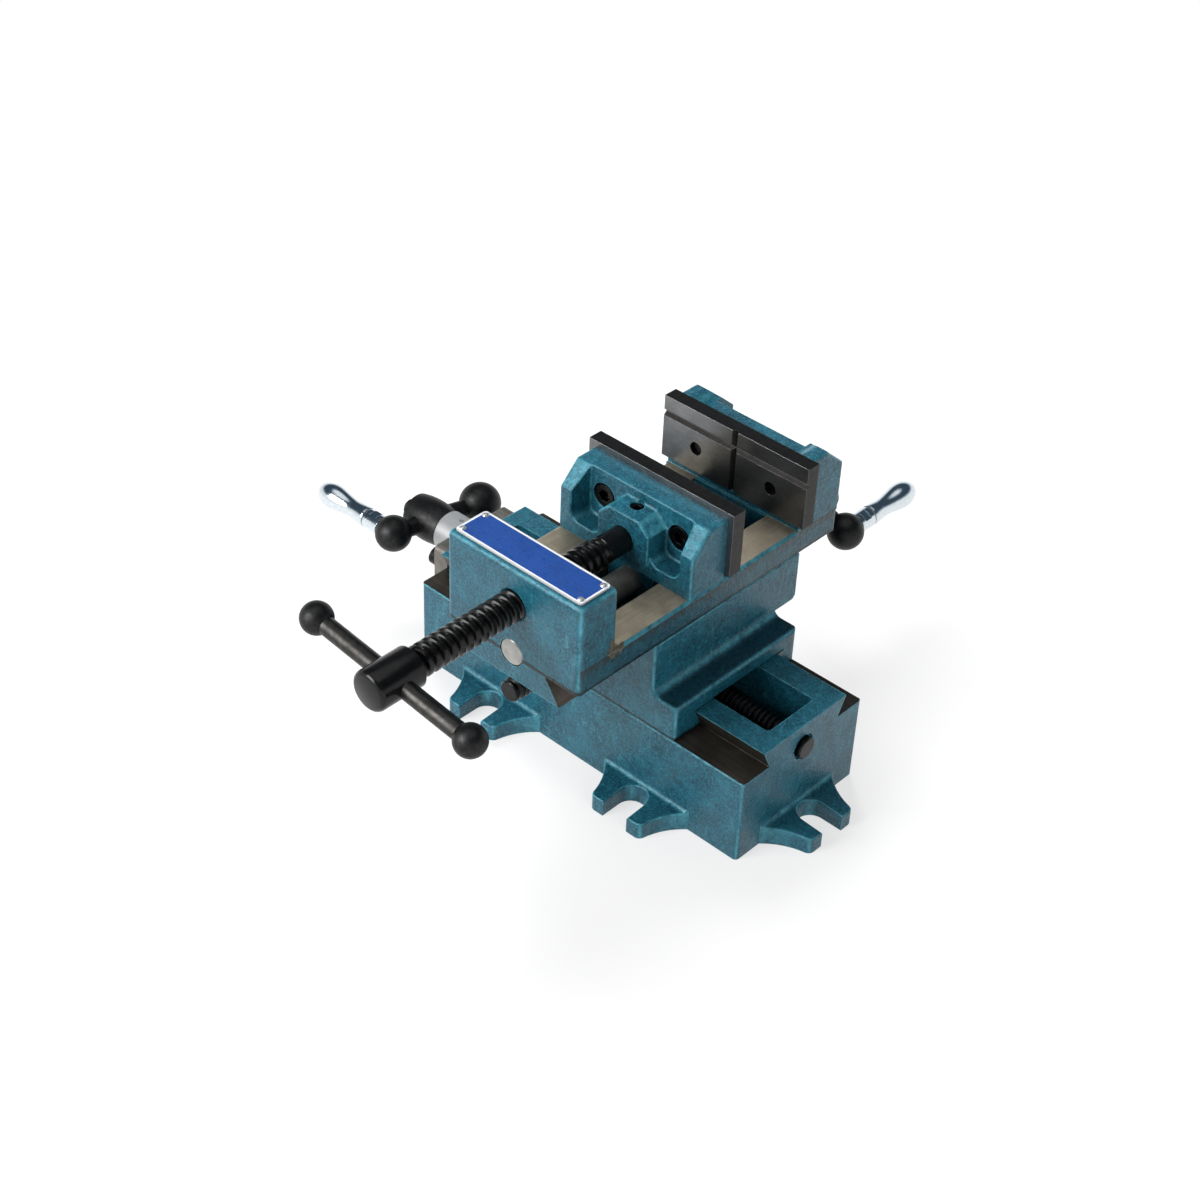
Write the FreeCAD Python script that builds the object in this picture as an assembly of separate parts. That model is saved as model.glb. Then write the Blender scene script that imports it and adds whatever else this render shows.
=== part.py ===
import FreeCAD, Part
import math
import os

V = FreeCAD.Vector

# Cross slide vise, in millimetres, +Z up. The origin is the centre of the base's underside.
# X runs along the base, towards the end without a crank. +Y runs from the tee handle to the fixed jaw.

# Clearances
running_clearance = 0.05
seat_clearance = 0.02
slot_clearance = 0.1
end_play = 0.1

# Base casting
base_length = 180.0
base_width = 74.2
track_height = 40.0
base_rise = 9.0
base_dovetail_width = 51.0
base_flank_deg = 65.0
base_corner_radius = 2.0
end_wall = 7.5
pocket_width = 28.0
pocket_depth = 25.0
pocket_corner_radius = 2.0

# Clamping lugs
lug_reach = 18.5
lug_thickness = 7.5
lug_root_width = 46.0
lug_tip_width = 27.0
lug_tip_radius = 3.0
lug_edge_radius = 0.9
lug_slope = 1.0
lug_blend = 2.4
lug_slot_width = 12.8
lug_slot_depth = 16.5
lug_spacing = 83.0

# Saddle casting
saddle_length = 96.0
skirt_height = 16.5
skirt_radius = 2.0
skirt_fillet = 4.0
seam_bevel = 0.5
saddle_height = 40.7
saddle_rear_overhang = 13.5
overhang_depth = 22.9
overhang_chamfer = 1.5
saddle_x = 6.5
lower_groove_clearance = 1.0
upper_groove_clearance = 0.8
screw_channel_width = 26.0
saddle_web = 5.5

# Gibs and their adjusting screws
gib_thickness = 3.0
gib_screw_diameter = 5.0
gib_screw_projection = 6.0
gib_screw_inset = 16.0
lock_nut_width = 8.0
lock_nut_thickness = 3.6

# Vise body casting
vise_width = 70.7
vise_length = 154.3
front_overhang = 43.0
bed_thickness = 12.0
slide_rise = 11.0
slide_dovetail_width = 50.8
slide_flank_deg = 55.0
channel_width = 38.0
channel_depth = 19.0
way_bevel = 1.2
block_length = 20.4
block_height = 29.0
block_radius = 2.5
fixed_jaw_length = 27.3
fixed_jaw_height = 28.8
plate_ledge = 2.7
ledge_setback = 1.1
jaw_back_slope_run = 11.4
jaw_back_slope_drop = 10.0
hump_height = 3.0
hump_inner = 23.5
hump_ramp = 7.0
jaw_edge_radius = 1.6

# Jaw plates and their screws
jaw_width = 76.2
jaw_plate_height = 29.2
jaw_plate_thickness = 6.65
plate_groove_width = 3.0
plate_groove_depth = 1.6
plate_groove_height = 21.0
plate_screw_spacing = 39.8
fixed_screw_height = 11.2
movable_screw_height = 14.6
plate_screw_diameter = 6.0
plate_screw_recess = 1.5
cap_head_diameter = 9.8
cap_head_height = 6.0
cap_socket_width = 5.0
cap_socket_depth = 3.0
counterbore_gap = 0.8
fixed_counterbore_depth = 9.0

# Movable jaw casting
jaw_opening = 38.7
jaw_depth = 19.8
jaw_height = 29.0
jaw_front_chamfer = 9.6
recess_mouth_width = 58.0
recess_back_width = 54.0
recess_wall = 10.1
recess_floor = 6.3
recess_radius = 4.5
recess_back_radius = 1.5
recess_rim_radius = 0.8
hub_projection = 1.2
hub_width = 26.8
hub_top_width = 15.0
hub_height = 24.1
hub_shoulder = 18.8
hub_edge_radius = 1.0
tongue_width = 24.0
tongue_floor_gap = 0.8
tongue_setback = 5.3
tongue_radius = 5.0

# Clamping screw and tee handle
screw_height = 12.3
screw_diameter = 13.0
neck_diameter = 11.6
neck_length = 12.0
neck_grip = 16.0
neck_groove_diameter = 9.0
neck_groove_width = 5.6
screw_reach = 51.0
head_diameter = 17.0
head_length = 22.0
head_chamfer = 0.8
bar_setback = 10.0
bore_chamfer = 0.7
bar_diameter = 7.5
bar_span = 81.2
bar_tilt_deg = 6.5
ball_diameter = 13.2
set_screw_diameter = 6.0
set_screw_length = 7.0
set_screw_inset = 0.8

# Guide rod
rod_diameter = 12.0
rod_depth = 10.5
rod_grip = 12.0
rod_chamfer = 0.6

# Lead screws
x_screw_diameter = 12.0
x_screw_drop = 11.6
x_journal_diameter = 9.7
x_tail_projection = 2.0
tail_counterbore = 1.2
tail_counterbore_gap = 1.0
y_screw_diameter = 10.0
y_screw_drop = 17.5
y_journal_diameter = 8.6
y_tail_projection = 1.3
y_tail_chamfer = 0.7
y_centre_hole_diameter = 3.0

# Lead screw nuts
x_nut_length = 20.0
x_nut_width = 22.0
x_nut_wall = 3.2
y_nut_length = 18.0
y_nut_setback = 18.0
y_nut_wall = 0.8
nut_side_gap = 0.1
nut_screw_diameter = 4.0
nut_screw_head_diameter = 7.6
x_nut_screw_gap = 1.6
y_nut_screw_bite = 5.0
x_nut_screw_spacing = 12.0
y_nut_screw_spacing = 19.4

# Bearing plates
x_plate_thickness = 8.0
y_plate_thickness = 4.2
x_plate_width = 44.0
x_plate_height = 20.0
x_plate_screw_spacing = 33.0
y_plate_width = 24.0
y_plate_rise = 27.0
y_plate_screw_spacing = 14.0
y_plate_screw_rise = 20.5
plate_corner_radius = 3.0
bearing_screw_diameter = 5.0
bearing_screw_grip = 10.0
bearing_head_diameter = 8.5
bearing_head_height = 5.0
bearing_socket_width = 4.0
bearing_socket_depth = 2.5

# Dial collars and cranks
collar_diameter = 18.4
collar_length = 14.8
collar_chamfer = 0.8
hub_gap = 0.1
hub_diameter = 19.6
hub_end_diameter = 17.0
hub_length = 19.6
hub_bore_diameter = 8.0
crank_tilt_deg = 8.0
grip_arm = 20.7
weight_arm = 26.6
grip_ball_diameter = 16.4
weight_ball_diameter = 19.2
arm_root_diameter = 9.6
arm_tip_diameter = 7.2
crank_nut_diameter = 7.8
crank_nut_length = 5.2
x_crank_turn_deg = -4.0
y_crank_turn_deg = -24.0

# Revolving grips
ferrule_diameter = 9.3
ferrule_start = 7.2
ferrule_end = 15.6
ferrule_flat_depth = 0.7
ferrule_flat_length = 4.0
pin_diameter = 5.0
pin_shank_diameter = 4.0
pin_shank_length = 24.0
pin_depth = 6.0
grip_length = 31.0
grip_groove = 0.8
grip_start_radius = 4.65
grip_neck_radius = 4.2
grip_bulb_radius = 5.75
grip_tip_radius = 2.6

# Name plate and its drive screws
name_plate_length = 66.0
name_plate_width = 16.6
name_plate_thickness = 0.8
name_plate_radius = 1.5
name_plate_offset = 0.1
drive_screw_diameter = 3.0
drive_screw_height = 0.9
drive_screw_spacing_x = 61.8
drive_screw_spacing_y = 12.2
drive_shank_diameter = 1.6
drive_shank_length = 4.0

# Levels and faces that the pieces share
half_base = base_length / 2
base_front = -base_width / 2
base_back = base_width / 2
base_top = track_height + base_rise
x_screw_height = base_top - x_screw_drop
pocket_floor = base_top - pocket_depth
saddle_top = track_height + saddle_height
skirt_top = track_height + skirt_height
saddle_back = base_back + saddle_rear_overhang
lower_ceiling = base_top + lower_groove_clearance
channel_floor = lower_ceiling + saddle_web
slide_bottom = saddle_top - slide_rise
upper_floor = slide_bottom - upper_groove_clearance
bed_top = saddle_top + bed_thickness
vise_front = base_front - front_overhang
vise_back = vise_front + vise_length
block_back = vise_front + block_length
block_top = bed_top + block_height
plate_bottom = bed_top + plate_ledge
plate_top = plate_bottom + jaw_plate_height
fixed_jaw_front = vise_back - fixed_jaw_length
fixed_plate_back = fixed_jaw_front + jaw_plate_thickness
movable_plate_front = fixed_jaw_front - jaw_opening
jaw_back = movable_plate_front - jaw_plate_thickness
jaw_front = jaw_back - jaw_depth
jaw_top = bed_top + jaw_height
hub_front = jaw_front - hub_projection
screw_axis = bed_top + screw_height
head_back = vise_front - screw_reach
head_front = head_back - head_length
bar_y = head_back - bar_setback
rod_axis = bed_top - rod_depth
half_bore = half_base - end_wall
y_screw_axis = saddle_top - y_screw_drop
x_plate_face = -half_base - x_plate_thickness
y_plate_face = vise_back + y_plate_thickness
neck_groove_y = hub_front + neck_grip / 2 - neck_groove_width / 2


def box(x0, x1, y0, y1, z0, z1):
    return Part.makeBox(x1 - x0, y1 - y0, z1 - z0, V(x0, y0, z0))


def cylinder(start, axis, diameter, length):
    return Part.makeCylinder(diameter / 2, length, V(*start), V(*axis))


def prism(points, travel):
    corners = [V(*p) for p in points]
    return Part.Face(Part.makePolygon(corners + corners[:1])).extrude(V(*travel))


def along_x(profile, x0, x1):
    """A prism along X whose profile is a list of (y, z)."""
    return prism([(x0, y, z) for y, z in profile], (x1 - x0, 0, 0))


def along_y(profile, y0, y1):
    """A prism along Y whose profile is a list of (x, z)."""
    return prism([(x, y0, z) for x, z in profile], (0, y1 - y0, 0))


def fuse(first, *others):
    return first.multiFuse(list(others)).removeSplitter()


def cut(body, *tools):
    for tool in tools:
        body = body.cut(tool)
    return body


def is_along(edge, axis):
    if not isinstance(edge.Curve, Part.Line):
        return False
    return abs(edge.tangentAt(edge.FirstParameter).dot(V(*axis))) > 0.999


def rounded(shape, radius, wanted):
    """The shape with a fillet on each edge that wanted(edge) picks."""
    return shape.makeFillet(radius, [e for e in shape.Edges if wanted(e)])


def upright_rounded_box(x0, x1, y0, y1, z0, z1, radius):
    return rounded(box(x0, x1, y0, y1, z0, z1), radius, lambda e: is_along(e, (0, 0, 1)))


def hexagon(centre, axis, across_flats, length):
    """A hexagonal prism from centre along axis, which is X, Y or Z."""
    corner = across_flats / math.sqrt(3)
    points = []
    for i in range(6):
        a = math.radians(60 * i)
        u, w = corner * math.cos(a), corner * math.sin(a)
        x, y, z = centre
        if axis[0]:
            points.append((x, y + u, z + w))
        elif axis[1]:
            points.append((x + u, y, z + w))
        else:
            points.append((x + u, y + w, z))
    return prism(points, tuple(length * c for c in axis))


def cap_screw(seat, axis, diameter, grip, head, socket):
    """A socket head cap screw. Its head sits on seat, and its shank runs against axis."""
    head_width, head_depth = head
    socket_width, socket_depth = socket
    out = V(*axis)
    face = V(*seat)
    shank = Part.makeCylinder(diameter / 2, grip, face - out * grip, out)
    screw = fuse(Part.makeCylinder(head_width / 2, head_depth, face, out), shank)
    mouth = face + out * (head_depth - socket_depth)
    return screw.cut(hexagon(tuple(mouth), axis, socket_width, socket_depth + 1))


def seam_wedge(corner, outward):
    """The three corners of a wedge that bevels a casting's square edge where two castings meet."""
    (u, w), (a, b) = corner, outward
    return [(u - a * seam_bevel, w), (u, w - b * seam_bevel), (u + a * seam_bevel, w + b * seam_bevel)]


# Dovetails
def base_half_width(z, offset=0.0):
    """Half the base dovetail's width at height z, moved outward square to its flank by offset."""
    angle = math.radians(base_flank_deg)
    half = base_dovetail_width / 2 - (base_top - z) / math.tan(angle)
    return half + offset / math.sin(angle)


def slide_half_width(z, offset=0.0):
    """Half the vise body dovetail's width at height z, moved outward square to its flank by offset."""
    angle = math.radians(slide_flank_deg)
    half = slide_dovetail_width / 2 - (z - slide_bottom) / math.tan(angle)
    return half + offset / math.sin(angle)


def strip_between(half_width, low, high, inner, outer, side):
    """The four corners of a strip that lies against a dovetail's flank."""
    return [
        (side * half_width(low, inner), low),
        (side * half_width(low, outer), low),
        (side * half_width(high, outer), high),
        (side * half_width(high, inner), high),
    ]


gib_outer = running_clearance + gib_thickness
gib_seat = gib_outer + seat_clearance


# Base
def lug():
    """One slotted lug, standing out along +X from x = 0 and centred on y = 0."""
    root = lug_root_width / 2
    tip = lug_tip_width / 2
    sink = base_corner_radius
    height = lug_thickness + lug_slope + lug_blend
    waist = V(lug_reach * 0.42, tip + (root - tip) * 0.36, 0)
    sides = []
    for s in (1, -1):
        start, end = V(0, s * root, 0), V(lug_reach, s * tip, 0)
        sides.append(Part.Arc(start, V(waist.x, s * waist.y, 0), end).toShape())
    edges = [
        sides[0],
        Part.makeLine(V(lug_reach, tip, 0), V(lug_reach, -tip, 0)),
        sides[1],
        Part.makeLine(V(0, -root, 0), V(-sink, -root, 0)),
        Part.makeLine(V(-sink, -root, 0), V(-sink, root, 0)),
        Part.makeLine(V(-sink, root, 0), V(0, root, 0)),
    ]
    plan = Part.Face(Part.Wire(Part.__sortEdges__(edges))).extrude(V(0, 0, height))
    plan = rounded(
        plan, lug_tip_radius, lambda e: is_along(e, (0, 0, 1)) and e.BoundBox.XMin > lug_reach - 0.1
    )
    half = root + 1
    rise = lug_thickness + lug_slope
    side = [
        Part.makeLine(V(-sink, -half, 0), V(lug_reach, -half, 0)),
        Part.makeLine(V(lug_reach, -half, 0), V(lug_reach, -half, lug_thickness)),
        Part.makeLine(V(lug_reach, -half, lug_thickness), V(lug_blend, -half, rise)),
        Part.Arc(
            V(lug_blend, -half, rise),
            V(lug_blend * (1 - math.sqrt(0.5)), -half, rise + lug_blend * (1 - math.sqrt(0.5))),
            V(0, -half, height),
        ).toShape(),
        Part.makeLine(V(0, -half, height), V(-sink, -half, height)),
        Part.makeLine(V(-sink, -half, height), V(-sink, -half, 0)),
    ]
    slab = Part.Face(Part.Wire(side)).extrude(V(0, 2 * half, 0))
    centre = lug_reach - lug_slot_depth + lug_slot_width / 2
    slot = fuse(
        cylinder((centre, 0, -1), (0, 0, 1), lug_slot_width, height + 2),
        box(centre, lug_reach + 1, -lug_slot_width / 2, lug_slot_width / 2, -1, height + 1),
    )
    casting = plan.common(slab).cut(slot)

    def on_top(e):
        """Whether an edge runs round the lug's sloping top, outside the base."""
        if e.BoundBox.ZLength > lug_slope + lug_blend or e.BoundBox.ZMin < lug_thickness - 0.01:
            return False
        outside = e.BoundBox.XMax > 0.01 and e.BoundBox.XMin > -0.01
        across = is_along(e, (0, 1, 0)) and e.BoundBox.XMax < lug_reach - 0.01
        return outside and not across

    return rounded(casting, lug_edge_radius, on_top)


def placed_lug(angle, x, y):
    piece = lug()
    piece.rotate(V(0, 0, 0), V(0, 0, 1), angle)
    piece.translate(V(x, y, 0))
    return piece


def lugs():
    ends = [placed_lug(0, half_base, 0), placed_lug(180, -half_base, 0)]
    sides = []
    for s in (-1, 1):
        sides.append(placed_lug(-90, s * lug_spacing / 2, base_front))
        sides.append(placed_lug(90, s * lug_spacing / 2, base_back))
    return ends + sides


def base():
    block = upright_rounded_box(
        -half_base, half_base, base_front, base_back, 0, track_height, base_corner_radius
    )
    low, high = base_half_width(track_height), base_half_width(base_top)
    dovetail = along_x(
        [(-low, track_height), (low, track_height), (high, base_top), (-high, base_top)],
        -half_base, half_base,
    )
    bevels = [
        along_x(seam_wedge((s * base_width / 2, track_height), (s, 1)), -half_base - 1, half_base + 1)
        for s in (-1, 1)
    ]
    body = fuse(cut(block, *bevels), dovetail, *lugs())
    pocket = upright_rounded_box(
        -half_bore, half_bore, -pocket_width / 2, pocket_width / 2,
        pocket_floor, base_top + 1, pocket_corner_radius,
    )
    journal = cylinder(
        (-half_base - 1, 0, x_screw_height), (1, 0, 0),
        x_journal_diameter + 2 * running_clearance, base_length + 2,
    )
    recess = cylinder(
        (half_base - tail_counterbore, 0, x_screw_height), (1, 0, 0),
        x_journal_diameter + 2 * tail_counterbore_gap, tail_counterbore + 1,
    )
    body = cut(body, pocket, journal, recess)
    for s in (-1, 1):
        body = body.cut(cylinder(
            (-half_base - 1, s * x_plate_screw_spacing / 2, x_screw_height), (1, 0, 0),
            bearing_screw_diameter + 2 * seat_clearance, bearing_screw_grip + 2,
        ))
    return body


# Saddle
def saddle_section():
    """The saddle's face seen from the front, with a hollow corner where each skirt meets the upper part."""
    half, upper_half = saddle_length / 2, vise_width / 2
    bow = skirt_fillet * (1 - math.sqrt(0.5))
    edges = [
        Part.makeLine(V(-half, 0, track_height), V(half, 0, track_height)),
        Part.makeLine(V(-upper_half, 0, saddle_top), V(upper_half, 0, saddle_top)),
    ]
    for s in (-1, 1):
        rim = V(s * half, 0, skirt_top)
        start = V(s * (upper_half + skirt_fillet), 0, skirt_top)
        middle = V(s * (upper_half + bow), 0, skirt_top + bow)
        end = V(s * upper_half, 0, skirt_top + skirt_fillet)
        edges.append(Part.makeLine(V(s * half, 0, track_height), rim))
        edges.append(Part.makeLine(rim, start))
        edges.append(Part.Arc(start, middle, end).toShape())
        edges.append(Part.makeLine(end, V(s * upper_half, 0, saddle_top)))
    return Part.Face(Part.Wire(Part.__sortEdges__(edges)))


def saddle_blank():
    half, upper_half = saddle_length / 2, vise_width / 2
    block = saddle_section().extrude(V(0, base_width, 0))
    block.translate(V(0, base_front, 0))

    def cast_edge(e):
        span = e.BoundBox
        level_end = span.ZMax < track_height + 0.01 or span.ZMin > saddle_top - 0.01
        in_front = span.YMax < base_front + 0.01 and not level_end
        at_end = abs(span.XMin) > half - 0.01
        rim = is_along(e, (0, 1, 0)) and abs(span.ZMin - skirt_top) < 0.01 and at_end
        rear_corner = is_along(e, (0, 0, 1)) and span.YMin > base_back - 0.01 and at_end
        return in_front or rim or rear_corner

    block = rounded(block, skirt_radius, cast_edge)
    overhang_bottom = saddle_top - overhang_depth
    overhang = along_x(
        [
            (0, overhang_bottom), (0, saddle_top), (saddle_back, saddle_top),
            (saddle_back, overhang_bottom + overhang_chamfer),
            (saddle_back - overhang_chamfer, overhang_bottom),
        ],
        -upper_half, upper_half,
    )
    seams = []
    for s in (-1, 1):
        skirt_side, foot = (s * half, track_height), (s * base_width / 2, track_height)
        seams.append(along_x(seam_wedge(foot, (s, -1)), -half - 1, half + 1))
        seams.append(along_y(seam_wedge(skirt_side, (s, -1)), base_front - 1, base_back + 1))
        top_side = (s * upper_half, saddle_top)
        seams.append(along_y(seam_wedge(top_side, (s, 1)), base_front - 1, saddle_back + 1))
    return cut(fuse(block, overhang), *seams)


def lower_groove():
    half = saddle_length / 2 + 1
    floor = track_height - 1
    return along_x(
        [
            (-base_half_width(floor, running_clearance), floor),
            (base_half_width(floor, gib_seat), floor),
            (base_half_width(lower_ceiling, gib_seat), lower_ceiling),
            (-base_half_width(lower_ceiling, running_clearance), lower_ceiling),
        ],
        -half, half,
    )


def upper_groove():
    mouth = saddle_top + 1
    return along_y(
        [
            (-slide_half_width(upper_floor, gib_seat), upper_floor),
            (slide_half_width(upper_floor, running_clearance), upper_floor),
            (slide_half_width(mouth, running_clearance), mouth),
            (-slide_half_width(mouth, gib_seat), mouth),
        ],
        base_front - 1, saddle_back + 1,
    )


def x_gib_screw_places():
    span = saddle_length / 2 - gib_screw_inset
    return [-span, 0.0, span]


def y_gib_screw_places():
    first, last = base_front + gib_screw_inset, saddle_back - gib_screw_inset
    return [first, (first + last) / 2, last]


x_gib_height = track_height + base_rise * 0.6
y_gib_height = saddle_top - slide_rise * 0.5
nut_screw_hole = nut_screw_diameter + 2 * seat_clearance


def nut_screw(x, y, head_face, direction, length, diameter_gap=0.0):
    """A countersunk screw whose head is flush with head_face. It runs in direction, +1 up or -1 down."""
    radius = nut_screw_diameter / 2 + diameter_gap
    head = nut_screw_head_diameter / 2 + diameter_gap
    depth = nut_screw_head_diameter / 2 - nut_screw_diameter / 2
    axis = V(0, 0, direction)
    cone = Part.makeCone(head, radius, depth, V(x, y, head_face), axis)
    shank = Part.makeCylinder(radius, length - depth, V(x, y, head_face) + axis * depth, axis)
    return fuse(cone, shank)


def x_nut_screw_set(gap=0.0):
    s = x_nut_screw_spacing / 2
    length = channel_floor - x_screw_height - x_screw_diameter / 2 - x_nut_screw_gap
    return [nut_screw(x, 0, channel_floor, -1, length, gap) for x in (-s, s)]


def y_nut_screw_set(gap=0.0):
    s = y_nut_screw_spacing / 2
    length = saddle_web + y_nut_screw_bite
    return [nut_screw(x, y_nut_setback, lower_ceiling, 1, length, gap) for x in (-s, s)]


def saddle():
    half_channel = screw_channel_width / 2
    channel = box(-half_channel, half_channel, base_front - 1, saddle_back + 1, channel_floor, saddle_top)
    body = cut(saddle_blank(), lower_groove(), upper_groove(), channel)
    hole = gib_screw_diameter + 2 * seat_clearance
    for x in x_gib_screw_places():
        reach = base_back - base_half_width(x_gib_height)
        body = body.cut(cylinder((x, base_back + 1, x_gib_height), (0, -1, 0), hole, reach))
    for y in y_gib_screw_places():
        reach = vise_width / 2 - slide_half_width(y_gib_height)
        body = body.cut(cylinder((-vise_width / 2 - 1, y, y_gib_height), (1, 0, 0), hole, reach))
    return cut(body, *x_nut_screw_set(seat_clearance), *y_nut_screw_set(seat_clearance))


def x_gib():
    profile = strip_between(
        base_half_width, track_height + slot_clearance, base_top, running_clearance, gib_outer, 1
    )
    return along_x(profile, -saddle_length / 2, saddle_length / 2)


def y_gib():
    profile = strip_between(
        slide_half_width, slide_bottom, saddle_top - slot_clearance, running_clearance, gib_outer, -1
    )
    return along_y(profile, base_front, saddle_back)


def x_gib_screws():
    top = x_gib_height + gib_screw_diameter / 2
    tip = base_half_width(top, gib_outer + seat_clearance)
    end = base_back + gib_screw_projection
    return [cylinder((x, tip, x_gib_height), (0, 1, 0), gib_screw_diameter, end - tip)
            for x in x_gib_screw_places()]


def y_gib_screws():
    low = y_gib_height - gib_screw_diameter / 2
    tip = slide_half_width(low, gib_outer + seat_clearance)
    end = vise_width / 2 + gib_screw_projection
    return [cylinder((-tip, y, y_gib_height), (-1, 0, 0), gib_screw_diameter, end - tip)
            for y in y_gib_screw_places()]


def lock_nut(face, axis):
    nut = hexagon(face, axis, lock_nut_width, lock_nut_thickness)
    return nut.cut(cylinder(face, axis, gib_screw_diameter + 2 * seat_clearance, lock_nut_thickness))


def x_gib_nuts():
    return [lock_nut((x, base_back, x_gib_height), (0, 1, 0)) for x in x_gib_screw_places()]


def y_gib_nuts():
    return [lock_nut((-vise_width / 2, y, y_gib_height), (-1, 0, 0)) for y in y_gib_screw_places()]


def x_nut():
    low = x_screw_height - x_screw_diameter / 2 - x_nut_wall
    half = x_nut_length / 2
    block = box(-half, half, -x_nut_width / 2, x_nut_width / 2, low, lower_ceiling)
    bore = cylinder(
        (-half - 1, 0, x_screw_height), (1, 0, 0),
        x_screw_diameter + 2 * running_clearance, x_nut_length + 2,
    )
    return cut(block, bore, *x_nut_screw_set(seat_clearance))


def y_nut():
    top = y_screw_axis + y_screw_diameter / 2 + y_nut_wall
    half = screw_channel_width / 2 - nut_side_gap
    front = y_nut_setback - y_nut_length / 2
    block = box(-half, half, front, front + y_nut_length, channel_floor, top)
    bore = cylinder(
        (0, front - 1, y_screw_axis), (0, 1, 0),
        y_screw_diameter + 2 * running_clearance, y_nut_length + 2,
    )
    return cut(block, bore, *y_nut_screw_set(seat_clearance))


# Vise body
def bed():
    half = vise_width / 2
    slab = upright_rounded_box(-half, half, vise_front, vise_back, saddle_top, bed_top, block_radius)
    low, high = slide_half_width(slide_bottom), slide_half_width(saddle_top)
    dovetail = along_y(
        [(-low, slide_bottom), (low, slide_bottom), (high, saddle_top), (-high, saddle_top)],
        vise_front, vise_back,
    )
    seams = [
        along_y(seam_wedge((s * half, saddle_top), (s, -1)), vise_front + block_radius, vise_back + 1)
        for s in (-1, 1)
    ]
    return fuse(cut(slab, *seams), dovetail)


def front_block():
    half = vise_width / 2
    low = saddle_top + seam_bevel
    block = upright_rounded_box(-half, half, vise_front, block_back, low, block_top, block_radius)
    return rounded(block, block_radius, lambda e: e.BoundBox.ZMin > block_top - 0.01)


def jaw_wall(height, slope_top):
    """The fixed jaw's side view as (y, z) corners, with its ledge under the jaw plate."""
    return [
        (fixed_jaw_front + ledge_setback, bed_top - 1), (fixed_jaw_front + ledge_setback, plate_bottom),
        (fixed_plate_back, plate_bottom), (fixed_plate_back, height),
        (vise_back - jaw_back_slope_run, height), (vise_back, slope_top), (vise_back, bed_top - 1),
    ]


def fixed_jaw():
    half = vise_width / 2
    top = bed_top + fixed_jaw_height
    wall = along_x(jaw_wall(top, top - jaw_back_slope_drop), -half, half)
    peak = top + hump_height
    hump = along_x(jaw_wall(peak, peak - jaw_back_slope_drop), -half, half)
    pieces = [wall] + [hump.common(hump_window(side, top, peak)) for side in (-1, 1)]

    def cast_edge(e):
        span = e.BoundBox
        on_side = abs(span.XMin) > half - 0.01 and span.XLength < 0.01
        behind_plate = span.YMin > fixed_plate_back - 0.01 and span.ZMax > plate_bottom + 0.01
        against_plate = is_along(e, (0, 0, 1)) and span.YMax < fixed_plate_back + 0.01
        return on_side and behind_plate and not against_plate

    return rounded(fuse(*pieces), jaw_edge_radius, cast_edge)


def hump_window(side, top, peak):
    """What keeps of the raised jaw wall the hump on one side, with a smooth ramp down to the middle."""
    low, high = top - jaw_back_slope_drop, peak
    start, end = side * hump_inner, side * (hump_inner + hump_ramp)
    middle = (start + end) / 2
    ramp = Part.BezierCurve()
    ramp.setPoles([V(start, 0, top), V(middle, 0, top), V(middle, 0, high), V(end, 0, high)])
    outer = side * vise_width / 2
    corners = [V(end, 0, high), V(outer, 0, high), V(outer, 0, low), V(start, 0, low), V(start, 0, top)]
    sides = [Part.makeLine(p, q) for p, q in zip(corners, corners[1:])]
    window = Part.Face(Part.Wire([ramp.toShape()] + sides)).extrude(V(0, vise_back - fixed_plate_back, 0))
    window.translate(V(0, fixed_plate_back, 0))
    return window


def fixed_screw_seat():
    return vise_back - fixed_counterbore_depth


def vise_body():
    half_channel = channel_width / 2
    half = vise_width / 2
    body = fuse(bed(), front_block(), fixed_jaw())
    channel = rounded(
        box(-half_channel, half_channel, block_back, fixed_jaw_front, bed_top - channel_depth, bed_top + 1),
        block_radius, lambda e: is_along(e, (0, 1, 0)) and e.BoundBox.ZMax < bed_top,
    )
    bevels = [
        along_y(
            [(s * (half - way_bevel), bed_top + 1), (s * (half - way_bevel), bed_top),
             (s * half, bed_top - way_bevel), (s * (half + 1), bed_top - way_bevel),
             (s * (half + 1), bed_top + 1)],
            block_back, fixed_jaw_front,
        )
        for s in (-1, 1)
    ]
    screw_bore = cylinder(
        (0, vise_front - 1, screw_axis), (0, 1, 0),
        screw_diameter + 2 * running_clearance, block_length + 2,
    )
    rod_bore = cylinder(
        (0, vise_front - 1, rod_axis), (0, 1, 0),
        rod_diameter + 2 * seat_clearance, fixed_jaw_front + rod_grip + end_play - vise_front + 1,
    )
    chamfer = bore_chamfer + running_clearance
    mouth = Part.makeCone(
        screw_diameter / 2 + chamfer, screw_diameter / 2, chamfer, V(0, vise_front, screw_axis), V(0, 1, 0)
    )
    body = cut(body, channel, screw_bore, mouth, rod_bore, *bevels)
    z = plate_bottom + fixed_screw_height
    for s in (-1, 1):
        x = s * plate_screw_spacing / 2
        body = cut(
            body,
            cylinder((x, fixed_plate_back - 1, z), (0, 1, 0),
                     plate_screw_diameter + 2 * seat_clearance, vise_back - fixed_plate_back + 2),
            cylinder((x, fixed_screw_seat(), z), (0, 1, 0),
                     cap_head_diameter + 2 * counterbore_gap, fixed_counterbore_depth + 1),
            cylinder((s * y_plate_screw_spacing / 2, vise_back + 1, y_screw_axis + y_plate_screw_rise),
                     (0, -1, 0), bearing_screw_diameter + 2 * seat_clearance, bearing_screw_grip + 2),
        )
    for x, y in drive_screw_places():
        body = body.cut(cylinder((x, y, block_top), (0, 0, -1),
                                 drive_shank_diameter + 2 * seat_clearance, drive_shank_length))
    return body


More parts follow.
